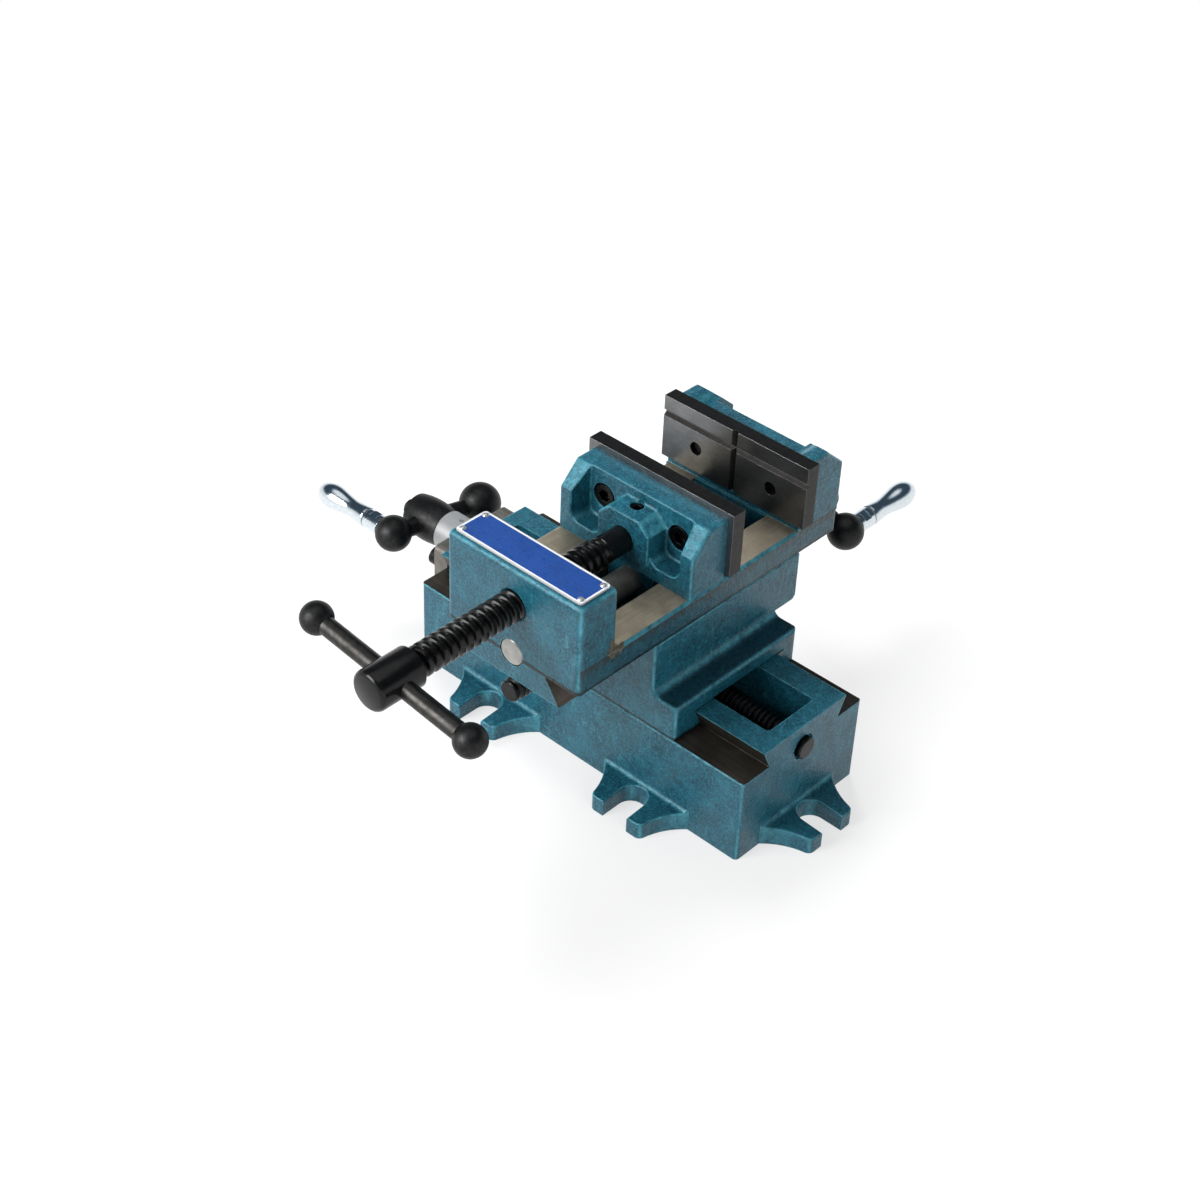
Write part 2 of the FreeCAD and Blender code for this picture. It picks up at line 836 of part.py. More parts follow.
def guide_rod():
    length = fixed_jaw_front + rod_grip - vise_front
    rod = cylinder((0, vise_front, rod_axis), (0, 1, 0), rod_diameter, length)
    return rod.makeChamfer(rod_chamfer, [e for e in rod.Edges if isinstance(e.Curve, Part.Circle)])


# Jaw plates
def plate_blank(y_front, hole_height):
    half = jaw_width / 2
    plate = box(-half, half, y_front, y_front + jaw_plate_thickness, plate_bottom, plate_top)
    for s in (-1, 1):
        plate = plate.cut(cylinder(
            (s * plate_screw_spacing / 2, y_front - 1, plate_bottom + hole_height), (0, 1, 0),
            plate_screw_diameter + 2 * seat_clearance, jaw_plate_thickness + 2,
        ))
    return plate


def fixed_jaw_plate():
    front = fixed_jaw_front
    half_groove = plate_groove_width / 2
    z = plate_bottom + plate_groove_height
    level = along_x(
        [(front - 1, z - half_groove), (front, z - half_groove), (front + plate_groove_depth, z),
         (front, z + half_groove), (front - 1, z + half_groove)],
        -jaw_width, jaw_width,
    )
    upright = prism(
        [(-half_groove, front - 1, plate_bottom - 1), (-half_groove, front, plate_bottom - 1),
         (0, front + plate_groove_depth, plate_bottom - 1), (half_groove, front, plate_bottom - 1),
         (half_groove, front - 1, plate_bottom - 1)],
        (0, 0, jaw_plate_height + 2),
    )
    return cut(plate_blank(front, fixed_screw_height), level, upright)


def movable_jaw_plate():
    return plate_blank(jaw_back, movable_screw_height)


def fixed_jaw_screws():
    seat = fixed_screw_seat()
    grip = seat - fixed_jaw_front - plate_groove_depth
    return [
        cap_screw((s * plate_screw_spacing / 2, seat, plate_bottom + fixed_screw_height), (0, 1, 0),
                  plate_screw_diameter, grip, (cap_head_diameter, cap_head_height),
                  (cap_socket_width, cap_socket_depth))
        for s in (-1, 1)
    ]


def movable_screw_seat():
    return jaw_back - recess_wall + cap_head_height


def movable_jaw_screws():
    seat = movable_screw_seat()
    grip = movable_plate_front - plate_screw_recess - seat
    return [
        cap_screw((s * plate_screw_spacing / 2, seat, plate_bottom + movable_screw_height), (0, -1, 0),
                  plate_screw_diameter, grip, (cap_head_diameter, cap_head_height),
                  (cap_socket_width, cap_socket_depth))
        for s in (-1, 1)
    ]


# Movable jaw
def hub_outline(low):
    """The hub's (x, z) corners, from its left foot over its flat top to its right foot."""
    shoulder, top = bed_top + hub_shoulder, bed_top + hub_height
    half, flat = hub_width / 2, hub_top_width / 2
    return [(-half, low), (-half, shoulder), (-flat, top), (flat, top), (half, shoulder), (half, low)]


def jaw_hub():
    low = bed_top + recess_floor - 1
    hub = along_y(hub_outline(low), hub_front, jaw_back - recess_wall + 1)

    def cast_edge(e):
        span = e.BoundBox
        return (span.YMax < hub_front + 0.01 or is_along(e, (0, 1, 0))) and span.ZMax > low + 0.01

    return rounded(hub, hub_edge_radius, cast_edge)


def jaw_tongue():
    half = tongue_width / 2
    low = bed_top - channel_depth + tongue_floor_gap
    tongue = box(-half, half, jaw_front + tongue_setback, jaw_back, low, bed_top + 1)
    return rounded(tongue, tongue_radius, lambda e: is_along(e, (0, 1, 0)) and e.BoundBox.ZMax < bed_top)


def jaw_recess():
    """The hollow in the jaw's front: two lobes beside the hub, narrower towards the plate's wall."""
    mouth, back = jaw_front, jaw_back - recess_wall
    reach = hub_projection + 5
    taper = (recess_mouth_width - recess_back_width) / 2 / (back - mouth)
    front_half = recess_mouth_width / 2 + taper * reach
    back_half = recess_back_width / 2
    floor, roof = bed_top + recess_floor, jaw_top + 1
    left, right = [(-front_half, roof), (-front_half, floor)], [(front_half, floor), (front_half, roof)]
    outline = left + hub_outline(floor) + right
    plan = prism(
        [(-front_half, mouth - reach, floor), (front_half, mouth - reach, floor),
         (back_half, back, floor), (-back_half, back, floor)],
        (0, 0, roof - floor),
    )
    hollow = along_y(outline, mouth - reach, back).common(plan)
    hollow = rounded(
        hollow, recess_radius,
        lambda e: e.BoundBox.ZMax < floor + 0.01 and e.BoundBox.YLength > 1,
    )
    return rounded(
        hollow, recess_back_radius, lambda e: e.BoundBox.YMin > back - 0.01 and e.BoundBox.ZMin < roof - 0.01
    )


def recess_rim_rounded(casting):
    """The casting with the outer edge of its recess rounded on the front, the slope and the top."""
    low, inner = bed_top + recess_floor + recess_radius, recess_back_width / 2 - recess_radius

    def on_slope(y, z):
        depth = (y - jaw_front) - (z - (jaw_top - jaw_front_chamfer))
        return abs(depth) < 0.01

    def on_rim(e):
        span = e.BoundBox
        if span.ZMax < low or max(-span.XMin, span.XMax) > recess_mouth_width / 2 + 0.01:
            return False
        in_front = span.YMax < jaw_front + 0.01
        on_top = span.ZMin > jaw_top - 0.01
        slope = all(on_slope(v.Point.y, v.Point.z) for v in e.Vertexes)
        sideways = min(abs(span.XMin), abs(span.XMax)) > inner or on_top
        return (in_front or on_top or slope) and sideways

    return rounded(casting, recess_rim_radius, on_rim)


def movable_jaw():
    half = vise_width / 2
    casting = along_x(
        [
            (jaw_front, bed_top), (jaw_back, bed_top), (jaw_back, jaw_top),
            (jaw_front + jaw_front_chamfer, jaw_top), (jaw_front, jaw_top - jaw_front_chamfer),
        ],
        -half, half,
    )

    def cast_edge(e):
        span = e.BoundBox
        on_side = abs(span.XMin) > half - 0.01 and span.XLength < 0.01
        in_front = span.YMax < jaw_back - 0.01 and span.ZMin > bed_top + 0.01
        return in_front or (on_side and span.YMin < jaw_back - 0.01 and span.ZMax > bed_top + 0.01)

    casting = rounded(casting, jaw_edge_radius, cast_edge).cut(jaw_recess())
    body = fuse(recess_rim_rounded(casting), jaw_hub(), jaw_tongue())
    neck_bore = cylinder(
        (0, hub_front - 1, screw_axis), (0, 1, 0),
        neck_diameter + 2 * running_clearance, neck_grip + end_play + 1,
    )
    rod_bore = cylinder(
        (0, jaw_front - 1, rod_axis), (0, 1, 0),
        rod_diameter + 2 * running_clearance, jaw_depth + 2,
    )
    set_hole = cylinder(
        (0, neck_groove_y + neck_groove_width / 2, screw_axis), (0, 0, 1),
        set_screw_diameter + 2 * seat_clearance, hub_height,
    )
    body = cut(body, neck_bore, rod_bore, set_hole)
    z = plate_bottom + movable_screw_height
    seat = movable_screw_seat()
    for s in (-1, 1):
        x = s * plate_screw_spacing / 2
        body = cut(
            body,
            cylinder((x, jaw_front, z), (0, 1, 0), plate_screw_diameter + 2 * seat_clearance, jaw_depth + 1),
            cylinder((x, jaw_front, z), (0, 1, 0), cap_head_diameter + 2 * counterbore_gap,
                     seat - jaw_front),
        )
    return body


def neck_set_screw():
    y = neck_groove_y + neck_groove_width / 2
    top = bed_top + hub_height - set_screw_inset
    low = screw_axis + neck_diameter / 2 + running_clearance
    body = cylinder((0, y, low), (0, 0, 1), set_screw_diameter, top - low)
    tip_low = screw_axis + neck_groove_diameter / 2 + running_clearance
    tip = cylinder((0, y, tip_low), (0, 0, 1), neck_groove_width - 2 * slot_clearance, low - tip_low)
    return fuse(body, tip).cut(hexagon((0, y, top - set_screw_length / 3), (0, 0, 1),
                                       set_screw_diameter / 2, set_screw_length))


# Clamping screw and tee handle
def main_screw():
    start = (0, head_back, screw_axis)
    thread_end = hub_front - neck_length
    thread = cylinder(start, (0, 1, 0), screw_diameter, thread_end - head_back)
    neck_end = hub_front + neck_grip
    neck = cylinder((0, thread_end, screw_axis), (0, 1, 0), neck_diameter, neck_end - thread_end)
    ring = cylinder((0, neck_groove_y, screw_axis), (0, 1, 0), neck_diameter + 1, neck_groove_width).cut(
        cylinder((0, neck_groove_y - 1, screw_axis), (0, 1, 0), neck_groove_diameter, neck_groove_width + 2)
    )
    head = cylinder((0, head_front, screw_axis), (0, 1, 0), head_diameter, head_length)
    head = head.makeChamfer(head_chamfer, [e for e in head.Edges if isinstance(e.Curve, Part.Circle)])
    bar_hole = bar_cylinder(bar_diameter + 2 * running_clearance, head_diameter + 2)
    return cut(fuse(head, thread, neck), ring, bar_hole)


def bar_direction():
    tilt = math.radians(bar_tilt_deg)
    return V(math.cos(tilt), 0, -math.sin(tilt))


def bar_cylinder(diameter, length):
    """A cylinder centred on the clamping screw's axis, along the tee handle's bar."""
    along = bar_direction()
    start = V(0, bar_y, screw_axis) - along * (length / 2)
    return Part.makeCylinder(diameter / 2, length, start, along)


def bar_ball(side):
    """The ball pressed on one end of the bar, turned about the bar's axis with a bore in its inner half."""
    out = bar_direction() * side
    centre = V(0, bar_y, screw_axis) + out * (bar_span / 2)
    radius, bore = ball_diameter / 2, bar_diameter / 2 + seat_clearance
    mouth = -math.sqrt(radius ** 2 - bore ** 2)
    outline = Part.Wire([
        Part.makeLine(V(0, 0, 0), V(0, bore, 0)),
        Part.makeLine(V(0, bore, 0), V(mouth, bore, 0)),
        Part.Arc(V(mouth, bore, 0), V(0, radius, 0), V(radius, 0, 0)).toShape(),
        Part.makeLine(V(radius, 0, 0), V(0, 0, 0)),
    ])
    ball = Part.Face(outline).revolve(V(0, 0, 0), V(1, 0, 0), 360)
    ball.Placement = FreeCAD.Placement(centre, FreeCAD.Rotation(V(1, 0, 0), out))
    return ball


# Lead screws
def x_lead_screw():
    thread = cylinder(
        (-half_bore + end_play, 0, x_screw_height), (1, 0, 0), x_screw_diameter, 2 * (half_bore - end_play)
    )
    tail = cylinder(
        (half_bore - end_play, 0, x_screw_height), (1, 0, 0),
        x_journal_diameter, end_wall + end_play + x_tail_projection,
    )
    hub_start = x_plate_thickness + end_play + collar_length + hub_gap
    journal = cylinder(
        (-half_bore + end_play, 0, x_screw_height), (-1, 0, 0),
        x_journal_diameter, end_wall + end_play + hub_start,
    )
    stem = cylinder(
        (-half_base - hub_start, 0, x_screw_height), (-1, 0, 0),
        hub_bore_diameter - 2 * seat_clearance, hub_length,
    )
    return fuse(thread, tail, journal, stem)


def y_lead_screw():
    tail = vise_front - y_tail_projection
    shoulder = vise_back - end_play
    thread = cylinder((0, tail, y_screw_axis), (0, 1, 0), y_screw_diameter, shoulder - tail)
    rims = [e for e in thread.Edges if isinstance(e.Curve, Part.Circle)]
    thread = thread.makeChamfer(y_tail_chamfer, [e for e in rims if e.BoundBox.YMax < tail + 0.01])
    centre_hole = Part.makeCone(
        y_centre_hole_diameter / 2, 0, y_centre_hole_diameter / 2, V(0, tail, y_screw_axis), V(0, 1, 0)
    )
    hub_start = y_plate_thickness + end_play + collar_length + hub_gap
    journal = cylinder(
        (0, shoulder, y_screw_axis), (0, 1, 0), y_journal_diameter, end_play + hub_start
    )
    stem = cylinder(
        (0, vise_back + hub_start, y_screw_axis), (0, 1, 0),
        hub_bore_diameter - 2 * seat_clearance, hub_length,
    )
    return fuse(thread, journal, stem).cut(centre_hole)


# Bearing plates
def bearing_screw_hole(start, axis, thickness):
    return cylinder(start, axis, bearing_screw_diameter + 2 * seat_clearance, thickness + 2)


def x_bearing_plate():
    half, rise = x_plate_width / 2, x_plate_height / 2
    plate = box(x_plate_face, -half_base, -half, half, x_screw_height - rise, x_screw_height + rise)
    plate = rounded(plate, plate_corner_radius, lambda e: is_along(e, (1, 0, 0)))
    start = x_plate_face - 1
    bore = cylinder(
        (start, 0, x_screw_height), (1, 0, 0),
        x_journal_diameter + 2 * running_clearance, x_plate_thickness + 2,
    )
    spread = x_plate_screw_spacing / 2
    holes = [
        bearing_screw_hole((start, s * spread, x_screw_height), (1, 0, 0), x_plate_thickness) for s in (-1, 1)
    ]
    return cut(plate, bore, *holes)


def y_bearing_plate():
    half = y_plate_width / 2
    top = y_screw_axis + y_plate_rise
    foot = cylinder((0, vise_back, y_screw_axis), (0, 1, 0), y_plate_width, y_plate_thickness)
    upper = box(-half, half, vise_back, y_plate_face, y_screw_axis, top)
    upper = rounded(
        upper, plate_corner_radius, lambda e: is_along(e, (0, 1, 0)) and e.BoundBox.ZMin > top - 0.01
    )
    bore = cylinder(
        (0, vise_back - 1, y_screw_axis), (0, 1, 0),
        y_journal_diameter + 2 * running_clearance, y_plate_thickness + 2,
    )
    z = y_screw_axis + y_plate_screw_rise
    holes = [
        bearing_screw_hole((s * y_plate_screw_spacing / 2, vise_back - 1, z), (0, 1, 0), y_plate_thickness)
        for s in (-1, 1)
    ]
    return cut(fuse(foot, upper), bore, *holes)


def bearing_screw(seat, axis, thickness):
    return cap_screw(
        seat, axis, bearing_screw_diameter, thickness + bearing_screw_grip,
        (bearing_head_diameter, bearing_head_height), (bearing_socket_width, bearing_socket_depth),
    )


def x_bearing_screws():
    spread = x_plate_screw_spacing / 2
    return [
        bearing_screw((x_plate_face, s * spread, x_screw_height), (-1, 0, 0), x_plate_thickness)
        for s in (-1, 1)
    ]


def y_bearing_screws():
    z = y_screw_axis + y_plate_screw_rise
    return [
        bearing_screw((s * y_plate_screw_spacing / 2, y_plate_face, z), (0, 1, 0), y_plate_thickness)
        for s in (-1, 1)
    ]


# Crank pieces are made along +X from x = 0, where the bearing plate's outer face lies, then placed.
collar_start = end_play
hub_start_x = collar_start + collar_length + hub_gap
hub_centre_x = hub_start_x + hub_length / 2


def arm_direction():
    """From the hub towards the grip's ball."""
    tilt = math.radians(crank_tilt_deg)
    return V(math.sin(tilt), -math.cos(tilt), 0)


def grip_ball_centre():
    return V(hub_centre_x, 0, 0) + arm_direction() * grip_arm


def weight_ball_centre():
    return V(hub_centre_x, 0, 0) - arm_direction() * weight_arm


def collar(journal_diameter):
    ring = cylinder((collar_start, 0, 0), (1, 0, 0), collar_diameter, collar_length)
    ring = ring.makeChamfer(collar_chamfer, [e for e in ring.Edges if isinstance(e.Curve, Part.Circle)])
    return ring.cut(cylinder((0, 0, 0), (1, 0, 0), journal_diameter + 2 * seat_clearance, hub_start_x))


def crank_hub():
    """A barrel turned about X."""
    half = hub_length / 2
    ends = hub_end_diameter / 2
    arc = Part.Arc(
        V(hub_start_x, ends, 0), V(hub_centre_x, hub_diameter / 2, 0), V(hub_start_x + hub_length, ends, 0)
    ).toShape()
    outline = Part.Wire([
        Part.makeLine(V(hub_start_x, 0, 0), V(hub_start_x, ends, 0)),
        arc,
        Part.makeLine(V(hub_centre_x + half, ends, 0), V(hub_centre_x + half, 0, 0)),
        Part.makeLine(V(hub_centre_x + half, 0, 0), V(hub_start_x, 0, 0)),
    ])
    return Part.Face(outline).revolve(V(0, 0, 0), V(1, 0, 0), 360)


def crank():
    middle = V(hub_centre_x, 0, 0)
    out = arm_direction()
    grip_bar = Part.makeCone(arm_root_diameter / 2, arm_tip_diameter / 2, grip_arm, middle, out)
    weight_bar = Part.makeCone(arm_root_diameter / 2, arm_tip_diameter / 2, weight_arm, middle, out * -1)
    body = fuse(
        crank_hub(), grip_bar, weight_bar,
        Part.makeSphere(grip_ball_diameter / 2, grip_ball_centre()),
        Part.makeSphere(weight_ball_diameter / 2, weight_ball_centre()),
    )
    bore = cylinder((hub_start_x - 1, 0, 0), (1, 0, 0), hub_bore_diameter, hub_length + 2)
    pin_hole = Part.makeCylinder(
        pin_diameter / 2 + seat_clearance, grip_ball_diameter,
        grip_ball_centre() + V(ferrule_start - pin_depth, 0, 0), V(1, 0, 0),
    )
    seat = Part.makeCylinder(
        ferrule_diameter / 2 + seat_clearance, grip_ball_diameter,
        grip_ball_centre() + V(ferrule_start, 0, 0), V(1, 0, 0),
    )
    return cut(body, bore, pin_hole, seat)


def crank_nut():
    start = hub_start_x + hub_length
    nut = cylinder((start, 0, 0), (1, 0, 0), crank_nut_diameter, crank_nut_length)
    outer = [e for e in nut.Edges if isinstance(e.Curve, Part.Circle) and e.BoundBox.XMin > start + 1]
    return nut.makeChamfer(collar_chamfer, outer)


def grip_pin():
    centre = grip_ball_centre()
    axis = V(1, 0, 0)
    root = centre + axis * (ferrule_start - pin_depth)
    shank = Part.makeCylinder(pin_diameter / 2, pin_depth, root, axis)
    ferrule = Part.makeCylinder(
        ferrule_diameter / 2, ferrule_end - ferrule_start, centre + axis * ferrule_start, axis
    )
    spindle = Part.makeCylinder(
        pin_shank_diameter / 2, pin_shank_length, centre + axis * ferrule_end, axis
    )
    flats = []
    for s in (-1, 1):
        depth = ferrule_diameter / 2 - ferrule_flat_depth
        x = centre.x + (ferrule_start + ferrule_end + ferrule_flat_length) / 2 - ferrule_flat_length
        low, high = sorted((s * depth, s * ferrule_diameter))
        flats.append(box(x, x + ferrule_flat_length, centre.y - ferrule_diameter,
                         centre.y + ferrule_diameter, low, high))
    return cut(fuse(shank, ferrule, spindle), *flats)


def grip():
    centre = grip_ball_centre()
    start = ferrule_end + grip_groove
    shape = [
        (0.0, grip_start_radius), (0.07, grip_start_radius), (0.28, grip_neck_radius),
        (0.52, (grip_neck_radius + grip_bulb_radius) / 2), (0.76, grip_bulb_radius),
        (0.93, (grip_bulb_radius + grip_tip_radius) / 2), (1.0, 0.0),
    ]
    points = [V(centre.x + start + t * grip_length, centre.y + r, 0) for t, r in shape]
    curve = Part.BSplineCurve()
    curve.interpolate(Points=points, InitialTangent=V(1, 0, 0), FinalTangent=V(0, -1, 0))
    axis_start = V(points[0].x, centre.y, 0)
    outline = Part.Wire([
        Part.makeLine(axis_start, points[0]), curve.toShape(), Part.makeLine(points[-1], axis_start),
    ])
    body = Part.Face(outline).revolve(V(0, centre.y, 0), V(1, 0, 0), 360)
    bore = Part.makeCylinder(
        pin_shank_diameter / 2 + running_clearance, pin_shank_length + end_play,
        axis_start, V(1, 0, 0),
    )
    return body.cut(bore)


def place_x(shape):
    """Turn a crank piece to the base's left end, along -X."""
    shape.rotate(V(0, 0, 0), V(0, 0, 1), 180)
    shape.rotate(V(0, 0, 0), V(1, 0, 0), 180 + x_crank_turn_deg)
    shape.translate(V(x_plate_face, 0, x_screw_height))
    return shape


def place_y(shape):
    """Turn a crank piece to the vise body's back, along +Y."""
    shape.rotate(V(0, 0, 0), V(0, 0, 1), 90)
    shape.rotate(V(0, 0, 0), V(0, 1, 0), -y_crank_turn_deg)
    shape.translate(V(0, y_plate_face, y_screw_axis))
    return shape


# Name plate
def name_plate_centre_y():
    return (vise_front + block_back) / 2 + name_plate_offset


def drive_screw_places():
    y = name_plate_centre_y()
    return [(sx * drive_screw_spacing_x / 2, y + sy * drive_screw_spacing_y / 2)
            for sx in (-1, 1) for sy in (-1, 1)]


def name_plate():
    half, y = name_plate_length / 2, name_plate_centre_y()
    plate = upright_rounded_box(
        -half, half, y - name_plate_width / 2, y + name_plate_width / 2,
        block_top, block_top + name_plate_thickness, name_plate_radius,
    )
    for x, y in drive_screw_places():
        plate = plate.cut(cylinder((x, y, block_top - 1), (0, 0, 1),
                                   drive_shank_diameter + 2 * seat_clearance, name_plate_thickness + 2))
    return plate


def drive_screws():
    face = block_top + name_plate_thickness
    radius = drive_screw_diameter / 2
    dome = (radius ** 2 + drive_screw_height ** 2) / (2 * drive_screw_height)
    screws = []
    for x, y in drive_screw_places():
        ball = Part.makeSphere(dome, V(x, y, face + drive_screw_height - dome))
        cap = ball.common(box(x - dome, x + dome, y - dome, y + dome, face, face + dome))
        shank_length = drive_shank_length - slot_clearance + name_plate_thickness
        screws.append(fuse(cap, cylinder((x, y, face), (0, 0, -1), drive_shank_diameter, shank_length)))
    return screws


def shifted(shape):
    """A piece of the saddle or of what it carries, moved to where the saddle stands along the base."""
    shape.translate(V(saddle_x, 0, 0))
    return shape


fixed_nodes = {
    "base": base(),
    "x_bearing_plate": x_bearing_plate(),
    "x_bearing_screws": Part.makeCompound(x_bearing_screws()),
    "x_lead_screw": x_lead_screw(),
    "x_dial_collar": place_x(collar(x_journal_diameter)),
    "x_crank": place_x(crank()),
    "x_crank_nut": place_x(crank_nut()),
    "x_grip_pin": place_x(grip_pin()),
    "x_grip": place_x(grip()),
}

carried_nodes = {
    "saddle": saddle(),
    "x_gib": x_gib(),
    "x_gib_screws": Part.makeCompound(x_gib_screws()),
    "x_gib_nuts": Part.makeCompound(x_gib_nuts()),
    "y_gib": y_gib(),
    "y_gib_screws": Part.makeCompound(y_gib_screws()),
    "y_gib_nuts": Part.makeCompound(y_gib_nuts()),
    "x_nut": x_nut(),
    "x_nut_screws": Part.makeCompound(x_nut_screw_set()),
    "y_nut": y_nut(),
    "y_nut_screws": Part.makeCompound(y_nut_screw_set()),
    "vise_body": vise_body(),
    "guide_rod": guide_rod(),
    "fixed_jaw_plate": fixed_jaw_plate(),
    "fixed_jaw_screws": Part.makeCompound(fixed_jaw_screws()),
    "name_plate": name_plate(),
    "drive_screws": Part.makeCompound(drive_screws()),
    "y_bearing_plate": y_bearing_plate(),
    "y_bearing_screws": Part.makeCompound(y_bearing_screws()),
    "y_lead_screw": y_lead_screw(),
    "y_dial_collar": place_y(collar(y_journal_diameter)),
    "y_crank": place_y(crank()),
    "y_crank_nut": place_y(crank_nut()),
    "y_grip_pin": place_y(grip_pin()),
    "y_grip": place_y(grip()),
    "movable_jaw": movable_jaw(),
    "movable_jaw_plate": movable_jaw_plate(),
    "movable_jaw_screws": Part.makeCompound(movable_jaw_screws()),
    "neck_set_screw": neck_set_screw(),
    "main_screw": main_screw(),
    "tommy_bar": bar_cylinder(bar_diameter, bar_span),
    "tommy_ball_left": bar_ball(-1),
    "tommy_ball_right": bar_ball(1),
}

os.makedirs("parts", exist_ok=True)
for name, shape in fixed_nodes.items():
    shape.exportStep(f"parts/{name}.step")
for name, shape in carried_nodes.items():
    shifted(shape).exportStep(f"parts/{name}.step")
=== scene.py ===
import math

import bmesh
import bpy
from mathutils import Matrix, Vector

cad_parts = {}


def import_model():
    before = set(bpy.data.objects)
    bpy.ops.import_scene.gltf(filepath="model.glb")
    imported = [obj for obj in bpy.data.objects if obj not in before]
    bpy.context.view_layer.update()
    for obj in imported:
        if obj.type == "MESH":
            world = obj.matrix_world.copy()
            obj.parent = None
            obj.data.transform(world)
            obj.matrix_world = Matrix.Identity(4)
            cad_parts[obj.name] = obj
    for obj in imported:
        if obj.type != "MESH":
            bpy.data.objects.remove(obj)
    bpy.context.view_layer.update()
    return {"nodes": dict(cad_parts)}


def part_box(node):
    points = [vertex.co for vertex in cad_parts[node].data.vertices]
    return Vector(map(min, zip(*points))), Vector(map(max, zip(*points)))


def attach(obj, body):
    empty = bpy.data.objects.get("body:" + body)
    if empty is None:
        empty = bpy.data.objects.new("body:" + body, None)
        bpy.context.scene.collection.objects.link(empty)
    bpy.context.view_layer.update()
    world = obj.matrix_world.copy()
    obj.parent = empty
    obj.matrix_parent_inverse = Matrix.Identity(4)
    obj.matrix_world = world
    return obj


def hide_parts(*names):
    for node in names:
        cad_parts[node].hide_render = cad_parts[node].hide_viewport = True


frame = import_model()
nodes = frame["nodes"]

MM = 0.001

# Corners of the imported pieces, in metres
BODY_LOW, BODY_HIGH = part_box("vise_body")
SADDLE_LOW, SADDLE_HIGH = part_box("saddle")
NAME_LOW, NAME_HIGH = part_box("name_plate")
X_DIAL_LOW, X_DIAL_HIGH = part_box("x_dial_collar")
Y_DIAL_LOW, Y_DIAL_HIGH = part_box("y_dial_collar")
HUB_FRONT_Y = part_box("movable_jaw")[0].y
CENTRE_X = (BODY_LOW.x + BODY_HIGH.x) / 2

# Levels and half widths of the castings, in metres
TRACK_Z = SADDLE_LOW.z
SADDLE_TOP_Z = SADDLE_HIGH.z
SADDLE_LEDGE_Z = 0.070
WAY_Z = 0.0927
CHANNEL_HALF = 0.019
POCKET_HALF = 0.0825

# Bare spot at the foot of the front block, a little behind and above where the way begins
WORN_OFFSET = 0.0015
WORN_SPOT = Vector((BODY_HIGH.x, NAME_HIGH.y + WORN_OFFSET, WAY_Z + WORN_OFFSET))


class Nodes:
    """The emptied node tree of a material or world, with short ways to add and link nodes."""

    def __init__(self, owner):
        owner.use_nodes = True
        self.tree = owner.node_tree
        self.tree.nodes.clear()

    def add(self, kind, **settings):
        node = self.tree.nodes.new(kind)
        for key, value in settings.items():
            setattr(node, key, value)
        return node

    def link(self, source, target):
        self.tree.links.new(source, target)

    def feed(self, target, value):
        """Set a socket to a number, vector or tuple of a colour, or link another socket to it."""
        if isinstance(value, bpy.types.NodeSocket):
            self.link(value, target)
        elif isinstance(value, tuple):
            target.default_value = (*value, 1.0)
        else:
            target.default_value = value

    def split(self, vector):
        """The three coordinates of a vector."""
        node = self.add("ShaderNodeSeparateXYZ")
        self.link(vector, node.inputs[0])
        return node.outputs

    def vector(self, operation, first, second=None):
        """The node of a vector operation."""
        node = self.add("ShaderNodeVectorMath", operation=operation)
        self.link(first, node.inputs[0])
        if second is not None:
            self.feed(node.inputs[1], second)
        return node

    def math(self, operation, first, second=0.0, third=0.0):
        node = self.add("ShaderNodeMath", operation=operation)
        for socket, value in zip(node.inputs, (first, second, third)):
            self.feed(socket, value)
        return node.outputs[0]

    def times(self, first, second):
        return self.math("MULTIPLY", first, second)

    def minus(self, first, second):
        return self.math("SUBTRACT", first, second)

    def absolute(self, value):
        return self.math("ABSOLUTE", value)

    def flip(self, mask):
        """0 where a mask is 1, and 1 where it is 0."""
        return self.minus(1.0, mask)

    def ranged(self, value, low, high, first, last, interpolation="LINEAR"):
        """A number that goes from first to last as value goes from low to high."""
        node = self.add("ShaderNodeMapRange", interpolation_type=interpolation)
        self.feed(node.inputs["Value"], value)
        for name, number in (("From Min", low), ("From Max", high), ("To Min", first), ("To Max", last)):
            node.inputs[name].default_value = number
        return node.outputs["Result"]

    def above(self, value, edge, soft=0.02):
        """1 where value is over edge, 0 where it is under, with a soft step between."""
        return self.ranged(value, edge - soft, edge + soft, 0.0, 1.0)

    def below(self, value, edge, soft=0.02):
        """1 where value is under edge, 0 where it is over, with a soft step between."""
        return self.flip(self.above(value, edge, soft))

    def mix(self, factor, first, second):
        """A colour that goes from first to second with factor."""
        node = self.add("ShaderNodeMix", data_type="RGBA")
        for socket, value in zip((node.inputs[0], node.inputs[6], node.inputs[7]), (factor, first, second)):
            self.feed(socket, value)
        return node.outputs[2]

    def blend(self, factor, first, second):
        """A number that goes from first to second with factor."""
        node = self.add("ShaderNodeMix", data_type="FLOAT")
        for socket, value in zip((node.inputs[0], node.inputs[2], node.inputs[3]), (factor, first, second)):
            self.feed(socket, value)
        return node.outputs[0]


